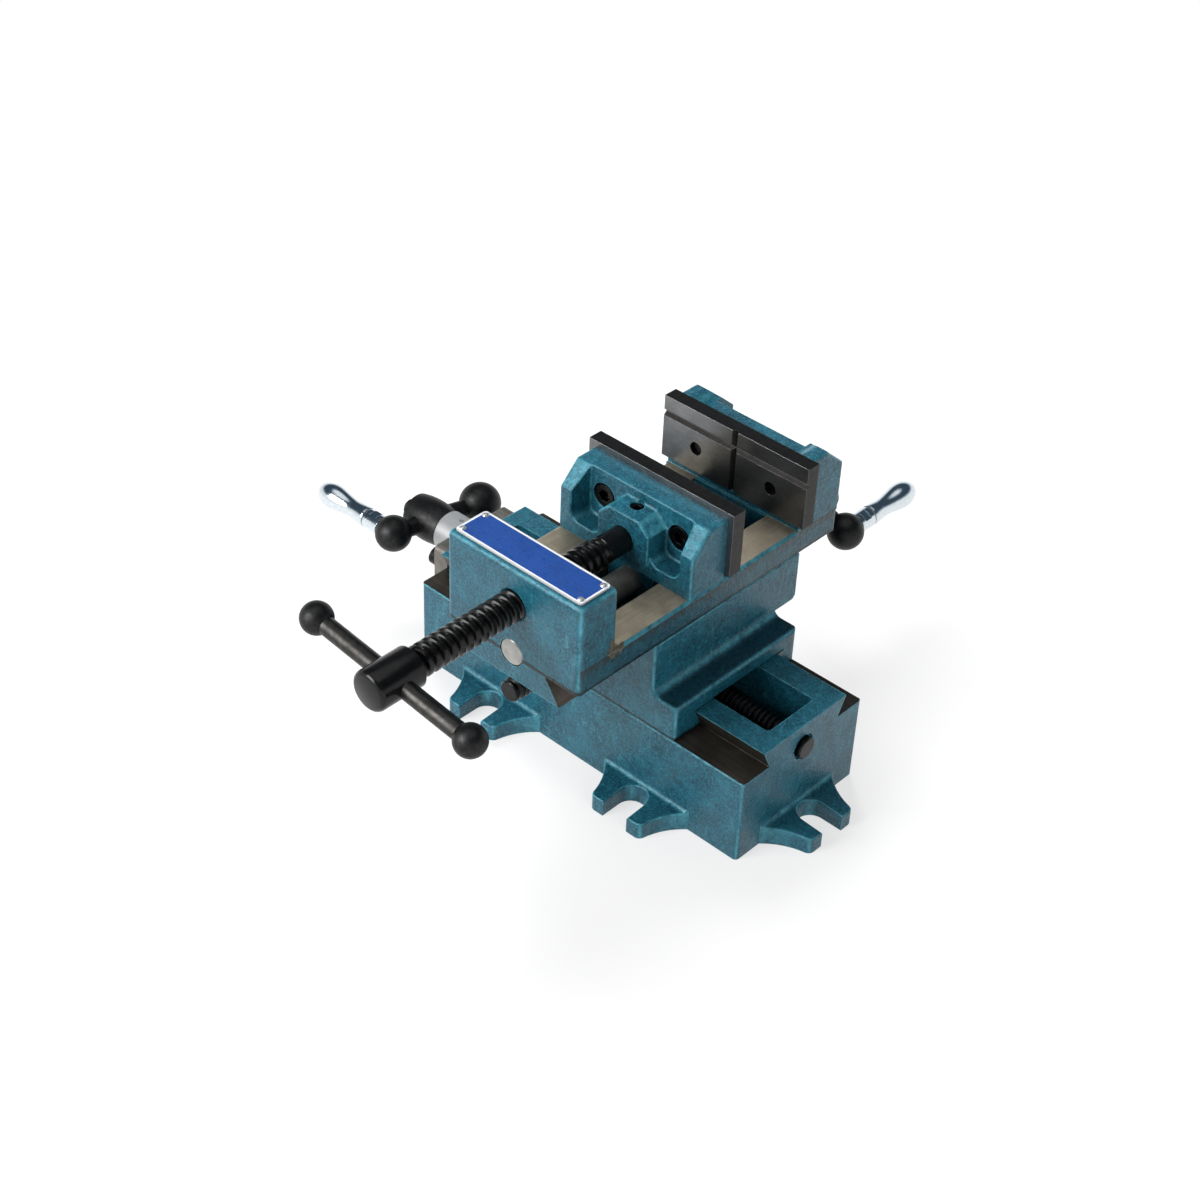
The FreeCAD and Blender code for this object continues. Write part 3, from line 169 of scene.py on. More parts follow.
class Material(Nodes):
    """A material around one Principled shader, with positions and sizes in millimetres."""

    def __init__(self, name):
        self.material = bpy.data.materials.new(name)
        super().__init__(self.material)
        output = self.add("ShaderNodeOutputMaterial")
        self.shader = self.add("ShaderNodeBsdfPrincipled")
        self.link(self.shader.outputs["BSDF"], output.inputs["Surface"])
        scaled = self.vector("SCALE", self.add("ShaderNodeTexCoord").outputs["Object"])
        scaled.inputs["Scale"].default_value = 1 / MM
        self.place = scaled.outputs["Vector"]
        self.x, self.y, self.z = self.split(self.place)
        self.nx, self.ny, self.nz = self.split(self.add("ShaderNodeNewGeometry").outputs["True Normal"])

    def noise(self, size, detail=3.0, roughness=0.5, stretch=(1, 1, 1), shift=(0, 0, 0)):
        """Noise whose blobs are about size wide, longer along an axis where stretch is over 1."""
        mapping = self.add("ShaderNodeMapping")
        self.link(self.place, mapping.inputs["Vector"])
        mapping.inputs["Location"].default_value = shift
        mapping.inputs["Scale"].default_value = [1 / s for s in stretch]
        node = self.add("ShaderNodeTexNoise")
        self.link(mapping.outputs[0], node.inputs["Vector"])
        node.inputs["Scale"].default_value = 1 / size
        node.inputs["Detail"].default_value = detail
        node.inputs["Roughness"].default_value = roughness
        return node.outputs["Fac"]

    def patches(self, size, low, high, first, last, **noise):
        """A number that goes from first to last as noise of that size goes from low to high."""
        return self.ranged(self.noise(size, **noise), low, high, first, last)

    def cells(self, size, smooth=0.6):
        """Rounded cells about size wide, as the orange peel of thick paint."""
        node = self.add("ShaderNodeTexVoronoi", feature="SMOOTH_F1")
        self.link(self.place, node.inputs["Vector"])
        node.inputs["Scale"].default_value = 1 / size
        node.inputs["Smoothness"].default_value = smooth
        return node.outputs["Distance"]

    def ramp(self, value, low, first, high, last):
        """A colour that goes from first to last as value goes from low to high."""
        node = self.add("ShaderNodeValToRGB")
        self.link(value, node.inputs["Fac"])
        for element, position, colour in zip(node.color_ramp.elements, (low, high), (first, last)):
            element.position = position
            element.color = (*colour, 1.0)
        return node.outputs["Color"]

    def near_whole(self, value, half):
        """1 where value is within half of a whole number."""
        fraction = self.math("FRACT", self.math("ADD", value, 0.5))
        return self.below(self.absolute(self.minus(fraction, 0.5)), half)

    def bump(self, height, depth, strength, normal):
        """A normal with bumps whose height runs from 0 to 1, depth deep, over another normal."""
        node = self.add("ShaderNodeBump")
        self.link(height, node.inputs["Height"])
        self.link(normal, node.inputs["Normal"])
        node.inputs["Strength"].default_value = strength
        node.inputs["Distance"].default_value = depth * MM
        return node.outputs[0]

    def rounded(self, radius):
        """The normal of a surface whose edges are rounded by radius."""
        node = self.add("ShaderNodeBevel", samples=6)
        node.inputs["Radius"].default_value = radius * MM
        return node.outputs[0]

    def edge(self, radius):
        """1 along the sharp edges of the piece and 0 on its faces."""
        normal = self.add("ShaderNodeNewGeometry").outputs["Normal"]
        likeness = self.vector("DOT_PRODUCT", self.rounded(radius), normal).outputs["Value"]
        return self.ranged(self.flip(likeness), 0.02, 0.25, 0.0, 1.0)

    def level_face(self, level):
        """1 on faces that look up at a height of level."""
        near = self.minus(self.above(self.z, level - 0.1), self.above(self.z, level + 0.1))
        return self.times(near, self.above(self.nz, 0.9, 0.05))

    def set(self, **values):
        """Set the shader's sockets, such as Base_Color or Roughness, and return the material."""
        for key, value in values.items():
            self.feed(self.shader.inputs[key.replace("_", " ")], value)
        return self.material


# Tones of the enamel, from its depths to its worn edges; the lightest, on edges and rounded faces, is part
# wear and part painted highlight
TEAL_DEEP = (0.0030, 0.040, 0.066)
TEAL = (0.0090, 0.087, 0.130)
TEAL_LIGHT = (0.0270, 0.188, 0.256)
TEAL_SCUFF = (0.0460, 0.235, 0.300)
TEAL_EDGE_HIGHLIGHT = (0.1200, 0.490, 0.610)

# Tones of what lies on the enamel or shows through it, and of painted shade on its sides and below its ledges
GRIME = (0.0190, 0.0220, 0.0190)
IRON_CHIP = (0.120, 0.105, 0.090)
DARK_SPECK = (0.003, 0.010, 0.014)
SHADED_OILY_SIDE = (0.004, 0.020, 0.028)
LEDGE_SHADE = (0.001, 0.012, 0.024)
SEAM_OIL = (0.002, 0.004, 0.005)


def worn_and_highlit_edges(m):
    """1 on the sharp and the rounded edges and the slopes of a casting, less where noise keeps the paint
    thick. The light tone laid there is part wear and part painted highlight.
    """
    normal = m.add("ShaderNodeNewGeometry").outputs["Normal"]
    x, y, z = m.split(m.vector("ABSOLUTE", normal).outputs["Vector"])
    largest = m.math("MAXIMUM", m.math("MAXIMUM", x, y), z)
    turned = m.ranged(m.flip(largest), 0.04, 0.26, 0.0, 0.55)
    kept = m.patches(4.0, 0.33, 0.62, 0.1, 1.0, detail=4.0, roughness=0.65)
    return m.times(m.math("MAXIMUM", m.edge(1.0), turned), kept)


def milled(m, dark, light, grain):
    """The colour and the marks of milled cast iron: faint tool marks along grain, and darker stains."""
    marks = m.noise(0.9, 4.0, 0.65, grain)
    stains = m.patches(13.0, 0.45, 0.70, 0.0, 0.6, detail=4.0, roughness=0.6)
    colour = m.ramp(marks, 0.30, dark, 0.72, light)
    return m.mix(stains, colour, tuple(c * 0.45 for c in dark)), marks


def painted(m, speckle):
    """The enamel's own colour: broad clouds, fine light speckle, lighter scuffs and deeper patches."""
    colour = m.ramp(m.noise(11.0, 3.0, 0.55), 0.33, TEAL_DEEP, 0.66, TEAL)
    colour = m.mix(m.ranged(speckle, 0.46, 0.64, 0.0, 0.75), colour, TEAL_LIGHT)
    scuffs = m.patches(3.2, 0.55, 0.70, 0.0, 0.50, detail=5.0, roughness=0.75, stretch=(1, 1, 2.5),
                       shift=(21, 14, 3))
    colour = m.mix(scuffs, colour, TEAL_SCUFF)
    deeper = m.patches(2.2, 0.50, 0.70, 0.0, 0.55, detail=4.0, roughness=0.7, shift=(3, 3, 9))
    return m.mix(deeper, colour, TEAL_DEEP)


def aged(m, colour):
    """The enamel's colour with light edges, part wear and part painted highlight, dirt, chips down to the
    iron and dark specks.
    """
    # Edges and slopes lightened: part paint worn thin, part painted highlight
    colour = m.mix(m.times(worn_and_highlit_edges(m), 0.80), colour, TEAL_EDGE_HIGHLIGHT)
    dirt = m.patches(7.0, 0.54, 0.72, 0.0, 0.55, detail=5.0, roughness=0.7, shift=(5, 31, 8))
    grains = m.patches(1.3, 0.40, 0.62, 0.2, 1.0, detail=3.0, roughness=0.6, shift=(9, 2, 6))
    colour = m.mix(m.times(dirt, grains), colour, GRIME)
    flaked = m.above(m.noise(2.6, 5.0, 0.7, shift=(40, 7, 3)), 0.625, 0.015)
    colour = m.mix(m.times(m.edge(0.8), flaked), colour, IRON_CHIP)
    crowded = m.patches(16.0, 0.40, 0.66, 0.10, 1.0, detail=3.0, roughness=0.6, shift=(71, 5, 2))
    specks = m.above(m.noise(0.9, 3.0, 0.6, shift=(11, 5, 90)), 0.66, 0.03)
    return m.mix(m.times(specks, crowded), colour, DARK_SPECK)


def shaded_oiled_sides(m, colour, top):
    """A colour that is darker on the faces to the left and right, part painted shade and part oil, with runs
    of oil below the level top.
    """
    sides = m.times(m.above(m.absolute(m.nx), 0.8, 0.1), m.below(m.z, top))
    # Side faces below top take a darker tone: part painted shade, part oil
    colour = m.mix(m.times(sides, 0.42), colour, SHADED_OILY_SIDE)
    reach = m.patches(3.0, 0.35, 0.70, 0.4, 6.5, detail=4.0, roughness=0.7, stretch=(1, 1, 2),
                      shift=(1, 40, 4))
    run = m.above(m.math("ADD", m.z, reach), top, 0.6)
    return m.mix(m.times(m.times(sides, run), 0.75), colour, GRIME)


def shaded_ledge(m, colour, ledge):
    """A colour with painted shade on the faces that look up below the level ledge."""
    level = m.times(m.above(m.nz, 0.9, 0.06), m.below(m.z, ledge))
    # Painted shade on the upward faces below the ledge
    return m.mix(m.times(level, 0.62), colour, LEDGE_SHADE)


def oiled_foot(m, colour, foot):
    """A colour with an oily line along the lower edge of a casting's sides, from the level foot up."""
    width = m.patches(6.0, 0.3, 0.7, 1.00, 2.10, detail=4.0, roughness=0.7, shift=(2, 8, 61))
    near = m.minus(m.above(m.z, foot - 0.2), m.above(m.minus(m.z, width), foot, 0.25))
    seam = m.times(near, m.below(m.absolute(m.nz), 0.8, 0.1))
    return m.mix(m.times(seam, 0.92), colour, SEAM_OIL)


def enamel(name, bare=None, grain=(30, 1, 1), foot=None, side_top=None, ledge=None):
    """Glossy blue-green enamel over cast iron.

    bare is a function that lists the machined faces as (mask, dark, light), with tool marks along grain.
    foot, side_top and ledge are the levels, in millimetres, for the oily line at the foot, the sides darkened
    as painted shade and oil, and the painted shade on upward faces below the ledge.
    """
    m = Material(name)
    speckle = m.noise(0.9, 3.0, 0.7)
    colour = aged(m, painted(m, speckle))
    if side_top is not None:
        colour = shaded_oiled_sides(m, colour, side_top)
    if ledge is not None:
        colour = shaded_ledge(m, colour, ledge)
    if foot is not None:
        colour = oiled_foot(m, colour, foot)
    height = m.math("ADD", m.times(m.cells(2.4), 0.5), m.noise(1.0, 3.0, 0.6))
    roughness = m.patches(3.0, 0.3, 0.7, 0.25, 0.38)
    metallic = m.ranged(speckle, 0.50, 0.80, 0.0, 0.30)
    for mask, dark, light in (bare(m) if bare else []):
        iron, marks = milled(m, dark, light, grain)
        colour = m.mix(mask, colour, iron)
        roughness = m.blend(mask, roughness, m.ranged(marks, 0.3, 0.7, 0.30, 0.46))
        metallic = m.blend(mask, metallic, 0.5)
        height = m.blend(mask, height, m.times(marks, 0.08))
    return m.set(Base_Color=colour, Roughness=roughness, Metallic=metallic, Specular_IOR_Level=0.35,
                 Normal=m.bump(height, 0.34, 0.85, m.rounded(0.7)))


def base_bare(m):
    """The base's two tracks and the flanks of its dovetail, in iron toned dark as painted shade for the dark
    saddle their reflections see.
    """
    level = TRACK_Z / MM
    flank = m.times(m.above(m.z, level), m.below(m.nz, -0.2))
    # The dark iron tone of tracks and flanks is painted shade
    return [(m.math("MAXIMUM", m.level_face(level), flank), (0.026, 0.023, 0.019), (0.062, 0.055, 0.046))]


def vise_bare(m):
    """The vise body's two ways, the worn spot, and the flanks and foot of its dovetail."""
    from_centre = m.absolute(m.minus(m.x, CENTRE_X / MM))
    way = m.times(m.level_face(WAY_Z / MM), m.above(from_centre, CHANNEL_HALF / MM - 0.1))
    from_spot = m.vector("DISTANCE", m.place, WORN_SPOT / MM).outputs["Value"]
    ragged = m.patches(2.0, 0.3, 0.7, 1.5, 7.0, detail=4.0, roughness=0.7, shift=(6, 6, 1))
    spot = m.below(m.minus(from_spot, ragged), 0.0, 0.3)
    lower = m.below(m.z, SADDLE_TOP_Z / MM + 0.05)
    turned = m.math("MAXIMUM", m.above(m.absolute(m.nx), 0.3, 0.05), m.below(m.nz, -0.5, 0.05))
    return [
        (way, (0.270, 0.232, 0.168), (0.400, 0.352, 0.268)),
        (spot, (0.085, 0.070, 0.050), (0.200, 0.170, 0.130)),
        (m.times(lower, turned), (0.060, 0.047, 0.038), (0.120, 0.100, 0.083)),
    ]


def steel(name, dark, light, rough=(0.25, 0.4), size=0.8, depth=0.01, metal=1.0):
    """Bare or blackened metal whose tone varies in marks of that size, and whose gloss in wider smears."""
    m = Material(name)
    marks = m.noise(size, 4.0, 0.6)
    smears = m.noise(9.0, 3.0, 0.6, shift=(3, 17, 5))
    colour = m.ramp(marks, 0.32, dark, 0.70, light)
    colour = m.mix(m.ranged(smears, 0.45, 0.75, 0.0, 0.4), colour, tuple(c * 0.6 for c in dark))
    colour = m.mix(m.times(m.edge(0.48), 0.35), colour, tuple(min(1.0, c * 1.8) for c in light))
    return m.set(Base_Color=colour, Roughness=m.ranged(smears, 0.3, 0.7, *rough), Metallic=metal,
                 Normal=m.bump(marks, depth, 0.6, m.rounded(0.3)))


def blackened(name, dark=(0.016, 0.016, 0.017), light=(0.036, 0.036, 0.036), rough=(0.26, 0.40), depth=0.012,
              metal=1.0):
    """Black oxide steel with a film of oil."""
    return steel(name, dark, light, rough, 1.6, depth, metal)


def jaw_steel(name):
    """Hardened jaw plate: ground front faces over darker scaled edges."""
    m = Material(name)
    grind = m.noise(0.35, 4.0, 0.65, (14, 1, 1))
    face = m.ramp(grind, 0.30, (0.160, 0.163, 0.168), 0.70, (0.270, 0.274, 0.278))
    rim = m.ramp(m.noise(2.5, 5.0, 0.6), 0.30, (0.020, 0.019, 0.018), 0.70, (0.042, 0.040, 0.038))
    flat = m.above(m.absolute(m.ny), 0.9, 0.05)
    smears = m.patches(12.0, 0.45, 0.8, 0.0, 0.45, detail=3.0, roughness=0.6)
    colour = m.mix(smears, m.mix(flat, rim, face), (0.035, 0.034, 0.033))
    colour = m.mix(m.times(m.edge(0.5), 0.18), colour, (0.42, 0.42, 0.42))
    return m.set(Base_Color=colour, Roughness=m.blend(flat, 0.46, 0.30), Metallic=0.95,
                 Normal=m.bump(grind, 0.008, 0.6, m.rounded(0.3)))


def chrome(name, round_edge):
    """Polished plate over a turned grip or pin, whose normals are smoothed over round_edge millimetres."""
    m = Material(name)
    haze = m.noise(1.2, 4.0, 0.6)
    colour = m.ramp(haze, 0.25, (0.62, 0.68, 0.72), 0.75, (0.78, 0.83, 0.86))
    return m.set(Base_Color=colour, Roughness=m.ranged(haze, 0.3, 0.75, 0.10, 0.16), Metallic=1.0,
                 Normal=m.bump(m.noise(7.0, 2.0, 0.4), 0.02, 0.5, m.rounded(round_edge)))


# Distances from the name plate's edge to the start of its white line and of its blue field, in millimetres
PLATE_LINE = 0.35
PLATE_FIELD = 1.05


def plate_blue(name):
    """Blue printed plate with a white line inside its bright rim."""
    m = Material(name)
    centre, half = (NAME_LOW + NAME_HIGH) / 2 / MM, (NAME_HIGH - NAME_LOW) / 2 / MM
    from_x = m.minus(half.x, m.absolute(m.minus(m.x, CENTRE_X / MM)))
    from_y = m.minus(half.y, m.absolute(m.minus(m.y, centre.y)))
    inset = m.math("SMOOTH_MIN", from_x, from_y, 1.2)
    blue = m.ramp(m.noise(6.0), 0.3, (0.006, 0.045, 0.220), 0.7, (0.009, 0.060, 0.280))
    colour = m.mix(m.above(inset, PLATE_FIELD, 0.04), (0.72, 0.74, 0.76), blue)
    colour = m.mix(m.below(inset, PLATE_LINE, 0.04), colour, (0.45, 0.46, 0.47))
    scratches = m.noise(0.3, 3.0, 0.6, (9, 1, 1))
    colour = m.mix(m.ranged(scratches, 0.62, 0.8, 0.0, 0.25), colour, (0.5, 0.52, 0.55))
    return m.set(Base_Color=colour, Roughness=m.ranged(scratches, 0.3, 0.7, 0.26, 0.36), Metallic=0.15,
                 Normal=m.bump(m.above(inset, PLATE_FIELD, 0.08), 0.05, 0.5, m.rounded(0.25)))


def bare_iron(name):
    """A bearing plate or gib, milled all over."""
    m = Material(name)
    colour, marks = milled(m, (0.150, 0.140, 0.124), (0.270, 0.255, 0.228), (12, 1, 1))
    colour = m.mix(m.times(m.edge(0.7), 0.4), colour, (0.40, 0.39, 0.37))
    return m.set(Base_Color=colour, Roughness=m.ranged(marks, 0.3, 0.7, 0.32, 0.48), Metallic=0.7,
                 Normal=m.bump(marks, 0.03, 0.5, m.rounded(0.4)))


# Dials: divisions, lengths of the lines from the rim in millimetres, and half widths as shares of a division
DIVISIONS = 50
LONG_EVERY = 5
SHORT_LINE, LONG_LINE = 2.4, 4.0
SHORT_HALF, LONG_HALF = 0.13, 0.15


def dial(name, axis, centre, rim):
    """A satin collar about axis, "x" or "y", with a line from its rim for each division and longer ones."""
    m = Material(name)
    along_axis, across, facing = (m.x, m.y, m.nx) if axis == "x" else (m.y, m.x, m.ny)
    marks = m.noise(0.5, 4.0, 0.6)
    colour = m.ramp(marks, 0.32, (0.30, 0.305, 0.31), 0.70, (0.40, 0.405, 0.41))
    reach = m.absolute(m.minus(along_axis, rim / MM))
    side = m.minus(across, (centre.y if axis == "x" else centre.x) / MM)
    up = m.minus(m.z, centre.z / MM)
    turn = m.times(m.math("ARCTAN2", side, up), DIVISIONS / (2 * math.pi))
    short = m.times(m.near_whole(turn, SHORT_HALF), m.below(reach, SHORT_LINE, 0.1))
    fifth = m.near_whole(m.math("DIVIDE", turn, LONG_EVERY), LONG_HALF / LONG_EVERY)
    long = m.times(fifth, m.below(reach, LONG_LINE, 0.1))
    engraved = m.times(m.math("MAXIMUM", short, long), m.below(m.absolute(facing), 0.5, 0.05))
    colour = m.mix(m.times(engraved, 0.85), colour, (0.02, 0.02, 0.02))
    return m.set(Base_Color=colour, Roughness=m.ranged(marks, 0.3, 0.7, 0.42, 0.52), Metallic=0.55,
                 Normal=m.bump(marks, 0.01, 0.6, m.rounded(0.3)))


X_DIAL_CENTRE = (X_DIAL_LOW + X_DIAL_HIGH) / 2
Y_DIAL_CENTRE = (Y_DIAL_LOW + Y_DIAL_HIGH) / 2
X_RIM = X_DIAL_HIGH.x
Y_RIM = Y_DIAL_LOW.y

materials = {
    "enamel": enamel("blue_green_enamel"),
    "base": enamel("base_enamel", base_bare, grain=(40, 1, 1)),
    "saddle": enamel("saddle_enamel", foot=TRACK_Z / MM, ledge=SADDLE_LEDGE_Z / MM),
    "vise": enamel("vise_enamel", vise_bare, grain=(1, 40, 1), foot=SADDLE_TOP_Z / MM, side_top=WAY_Z / MM),
    "iron": bare_iron("milled_iron"),
    "black": blackened("black_oxide"),
    "black_gloss": blackened("black_oxide_oiled", dark=(0.006, 0.006, 0.006), light=(0.012, 0.012, 0.011),
                             rough=(0.17, 0.25), metal=0.55),
    "black_satin": blackened("black_oxide_satin", dark=(0.026, 0.026, 0.026), light=(0.044, 0.044, 0.043),
                             rough=(0.42, 0.52), depth=0.05),
    "jaw": jaw_steel("ground_jaw_steel"),
    "bar": steel("bar_steel", dark=(0.036, 0.035, 0.033), light=(0.066, 0.064, 0.060), rough=(0.36, 0.50),
                 size=2.4),
    "rod": steel("ground_rod_steel", dark=(0.24, 0.235, 0.22), light=(0.40, 0.395, 0.38), rough=(0.26, 0.36),
                 size=5.0, metal=0.6),
    "bright": steel("bright_steel", dark=(0.66, 0.66, 0.67), light=(0.86, 0.86, 0.87), rough=(0.34, 0.44),
                    size=0.6),
    "x_dial": dial("x_dial_collar_steel", "x", X_DIAL_CENTRE, X_RIM),
    "y_dial": dial("y_dial_collar_steel", "y", Y_DIAL_CENTRE, Y_RIM),
    "bronze": steel("bronze", dark=(0.40, 0.28, 0.12), light=(0.58, 0.42, 0.20), rough=(0.3, 0.45), size=1.5),
    "chrome": chrome("polished_chrome", 1.5),
    "chrome_pin": chrome("polished_chrome_pin", 0.2),
    "plate": plate_blue("blue_name_plate"),
    "ink": steel("scale_ink", dark=(0.010, 0.010, 0.010), light=(0.020, 0.020, 0.020), rough=(0.5, 0.6),
                 size=1.0),
}

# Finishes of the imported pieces; those not named are black
finish_of = {
    "base": "base", "vise_body": "vise", "saddle": "saddle", "movable_jaw": "enamel",
    "x_bearing_plate": "iron", "y_bearing_plate": "iron", "x_gib": "iron", "y_gib": "iron",
    "x_nut": "bronze", "y_nut": "bronze", "fixed_jaw_plate": "jaw", "movable_jaw_plate": "jaw",
    "guide_rod": "rod", "drive_screws": "bright", "name_plate": "plate",
    "x_dial_collar": "x_dial", "y_dial_collar": "y_dial",
    "x_grip_pin": "chrome_pin", "y_grip_pin": "chrome_pin", "x_grip": "chrome", "y_grip": "chrome",
    "tommy_bar": "bar", "tommy_ball_left": "black_satin", "tommy_ball_right": "black_satin",
    "x_crank": "black_satin", "y_crank": "black_satin",
    "x_crank_nut": "black_satin", "y_crank_nut": "black_satin",
}


def dress(piece, finish):
    piece.data.materials.clear()
    piece.data.materials.append(materials[finish])


for name, piece in nodes.items():
    dress(piece, finish_of.get(name, "black"))

SHARP_ANGLE = math.radians(32)


def finished_mesh(bm, name):
    """A smooth mesh with sharp edges, made from a bmesh that is freed."""
    bmesh.ops.recalc_face_normals(bm, faces=bm.faces)
    mesh = bpy.data.meshes.new(name)
    bm.to_mesh(mesh)
    bm.free()
    for polygon in mesh.polygons:
        polygon.use_smooth = True
    mesh.set_sharp_from_angle(angle=SHARP_ANGLE)
    mesh.validate()
    return mesh


def add_to_scene(name, data):
    thing = bpy.data.objects.new(name, data)
    bpy.context.scene.collection.objects.link(thing)
    return thing


def new_piece(name, bm, finish, body, replaced=()):
    """Add a piece that rides on body, made from a bmesh."""
    piece = add_to_scene(name, finished_mesh(bm, name))
    dress(piece, finish)
    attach(piece, body)
    if replaced:
        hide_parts(*replaced)


def along(axis, start):
    """The matrix that lays local +Z along axis, with the local origin at start."""
    turn = Vector((0, 0, 1)).rotation_difference(Vector(axis)).to_matrix().to_4x4()
    return Matrix.Translation(Vector(start)) @ turn


def on_circle(radius, angle, height):
    return Vector((radius * math.cos(angle), radius * math.sin(angle), height))


AXIS_RADIUS = 1e-7


def lathe(bm, profile, matrix, segments=72):
    """Add the closed surface that a profile of (radius, height) points sweeps about local Z."""
    rings = []
    for radius, height in profile:
        if radius < AXIS_RADIUS:
            rings.append([bm.verts.new(matrix @ Vector((0, 0, height)))])
            continue
        angles = [2 * math.pi * i / segments for i in range(segments)]
        rings.append([bm.verts.new(matrix @ on_circle(radius, angle, height)) for angle in angles])
    for lower, upper in zip(rings, rings[1:]):
        for i in range(segments):
            j = (i + 1) % segments
            corners = [lower[i % len(lower)], lower[j % len(lower)]]
            corners += [upper[j % len(upper)], upper[i % len(upper)]]
            corners = list(dict.fromkeys(corners))
            if len(corners) > 2:
                bm.faces.new(corners)


# Shape of a thread's wave: a factor that flattens the crests, and a power that fills out the flanks
CREST_WIDTH = 1.35
FLANK_POWER = 0.8


def thread_radius(phase, outer, root):
    """The radius of a trapezoidal thread with rounded crests at a phase of 0 to 1 of its pitch."""
    wave = 0.5 - 0.5 * math.cos(2 * math.pi * phase)
    return root + (outer - root) * min(1.0, CREST_WIDTH * wave ** FLANK_POWER)


def helix_grid(bm, outer, root, pitch, start, end, segments, steps):
    """Add the faces of a helical thread that fades out at start and end, and runs on plain past them."""
    first = math.floor(start / pitch) - 1
    last = math.ceil(end / pitch) + 1
    rows = (last - first) * steps
    grid = []
    for row in range(rows + 1):
        ring = []
        for i in range(segments):
            height = (first + row / steps + i / segments) * pitch
            fade = min(1.0, max(0.0, min(height - start, end - height) / pitch))
            radius = root + (thread_radius(row / steps, outer, root) - root) * fade
            ring.append(bm.verts.new(on_circle(radius, 2 * math.pi * i / segments, height)))
        grid.append(ring)
    faces = []
    for row, (lower, upper) in enumerate(zip(grid, grid[1:])):
        for i in range(segments - 1):
            faces.append(bm.faces.new([lower[i], lower[i + 1], upper[i + 1], upper[i]]))
        wrap = row + steps
        if wrap < rows:
            faces.append(bm.faces.new([lower[-1], grid[wrap][0], grid[wrap + 1][0], upper[-1]]))
    return faces


def thread(bm, outer, root, pitch, start, end, matrix, segments=48, steps=8):
    """Add a closed helical thread about local Z from start to end, with steps rows of faces a pitch."""
    faces = helix_grid(bm, outer, root, pitch, start, end, segments, steps)
    geometry = faces + list({e for f in faces for e in f.edges}) + list({v for f in faces for v in f.verts})
    for height, outward in ((start, -1), (end, 1)):
        result = bmesh.ops.bisect_plane(
            bm, geom=geometry, plane_co=(0, 0, height), plane_no=(0, 0, outward), clear_outer=True,
        )
        rim = [e for e in result["geom_cut"] if isinstance(e, bmesh.types.BMEdge)]
        cap = bmesh.ops.edgeloop_fill(bm, edges=rim)["faces"]
        geometry = [g for g in result["geom"] if g.is_valid] + cap
    loose = [v for v in bm.verts if not v.link_faces]
    bmesh.ops.delete(bm, geom=loose, context="VERTS")
    placed = {v for g in geometry if g.is_valid and isinstance(g, bmesh.types.BMFace) for v in g.verts}
    bmesh.ops.transform(bm, matrix=matrix, verts=list(placed))


# Clamping screw, in metres
HEAD_RADIUS = 0.0085
HEAD_LENGTH = 0.022
HEAD_CHAMFER = 0.0009
SCREW_RADIUS = 0.0065
SCREW_ROOT = 0.0048
SCREW_PITCH = 0.004
NECK_RADIUS = 0.0058
NECK_LENGTH = 0.012
NECK_CHAMFER = 0.0004
OVERLAP = 0.001


def clamping_screw():
    """The clamping screw with its thread between a plain head and a plain neck."""
    low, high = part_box("main_screw")
    matrix = along((0, 1, 0), (CENTRE_X, low.y, (low.z + high.z) / 2))
    length = high.y - low.y
    neck = HUB_FRONT_Y - low.y - NECK_LENGTH
    bm = bmesh.new()
    thread(bm, SCREW_RADIUS, SCREW_ROOT, SCREW_PITCH, HEAD_LENGTH - OVERLAP, neck + OVERLAP, matrix,
           steps=16)
    r, c = HEAD_RADIUS, HEAD_CHAMFER
    lathe(bm, [(0, 0), (r - 2 * c, 0), (r - 1.3 * c, 0.25 * c), (r - 0.4 * c, c), (r, 2.2 * c),
               (r, HEAD_LENGTH - c), (r - c, HEAD_LENGTH), (0, HEAD_LENGTH)], matrix)
    lathe(bm, [(0, neck), (NECK_RADIUS - NECK_CHAMFER, neck), (NECK_RADIUS, neck + NECK_CHAMFER),
               (NECK_RADIUS, length), (0, length)], matrix)
    new_piece("clamping_screw", bm, "black_gloss", "clamp_screw", ["main_screw"])


# Lead screws, in metres
LEAD_PITCH = 0.0025
LEAD_DEPTH = 0.0012
LEAD_CHAMFER = 0.0005
STEM_RADIUS = 0.0039
X_JOURNAL_RADIUS = 0.00485
Y_JOURNAL_RADIUS = 0.0043
Y_TAIL_RADIUS = 0.0046
Y_TAIL_LENGTH = 0.0015
Y_TAIL_OVERLAP = 0.001
LEAD_OVERLAP = 0.0002
Y_END_PLAY = 0.0001


def lead_screw(name, node, axis, sections, span, body):
    """A lead screw along axis: plain sections of (start, end, radius) and a thread over span.

    Places along the screw are distances from its low end.
    """
    low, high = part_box(node)
    centre = (low + high) / 2
    start = (low.x, centre.y, centre.z) if axis == "x" else (centre.x, low.y, centre.z)
    matrix = along((1, 0, 0) if axis == "x" else (0, 1, 0), start)
    outer = (high.z - low.z) / 2
    bm = bmesh.new()
    thread(bm, outer, outer - LEAD_DEPTH, LEAD_PITCH, *span, matrix, segments=36)
    for first, last, radius in sections:
        inner = radius - LEAD_CHAMFER
        lathe(bm, [(0, first), (inner, first), (radius, first + LEAD_CHAMFER), (radius, last - LEAD_CHAMFER),
                   (inner, last), (0, last)], matrix, segments=48)
    new_piece(name, bm, "black", body, [node])


def x_screw():
    """The long slide's lead screw: stem in the crank, journal, thread in the pocket, and tail."""
    low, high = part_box("x_lead_screw")
    left, right = -POCKET_HALF - low.x, POCKET_HALF - low.x
    stem = X_DIAL_LOW.x - low.x
    sections = [
        (0.0, stem, STEM_RADIUS),
        (stem, left + LEAD_OVERLAP, X_JOURNAL_RADIUS),
        (right - LEAD_OVERLAP, high.x - low.x, X_JOURNAL_RADIUS),
    ]
    lead_screw("x_screw", "x_lead_screw", "x", sections, (left, right), "x_screw")


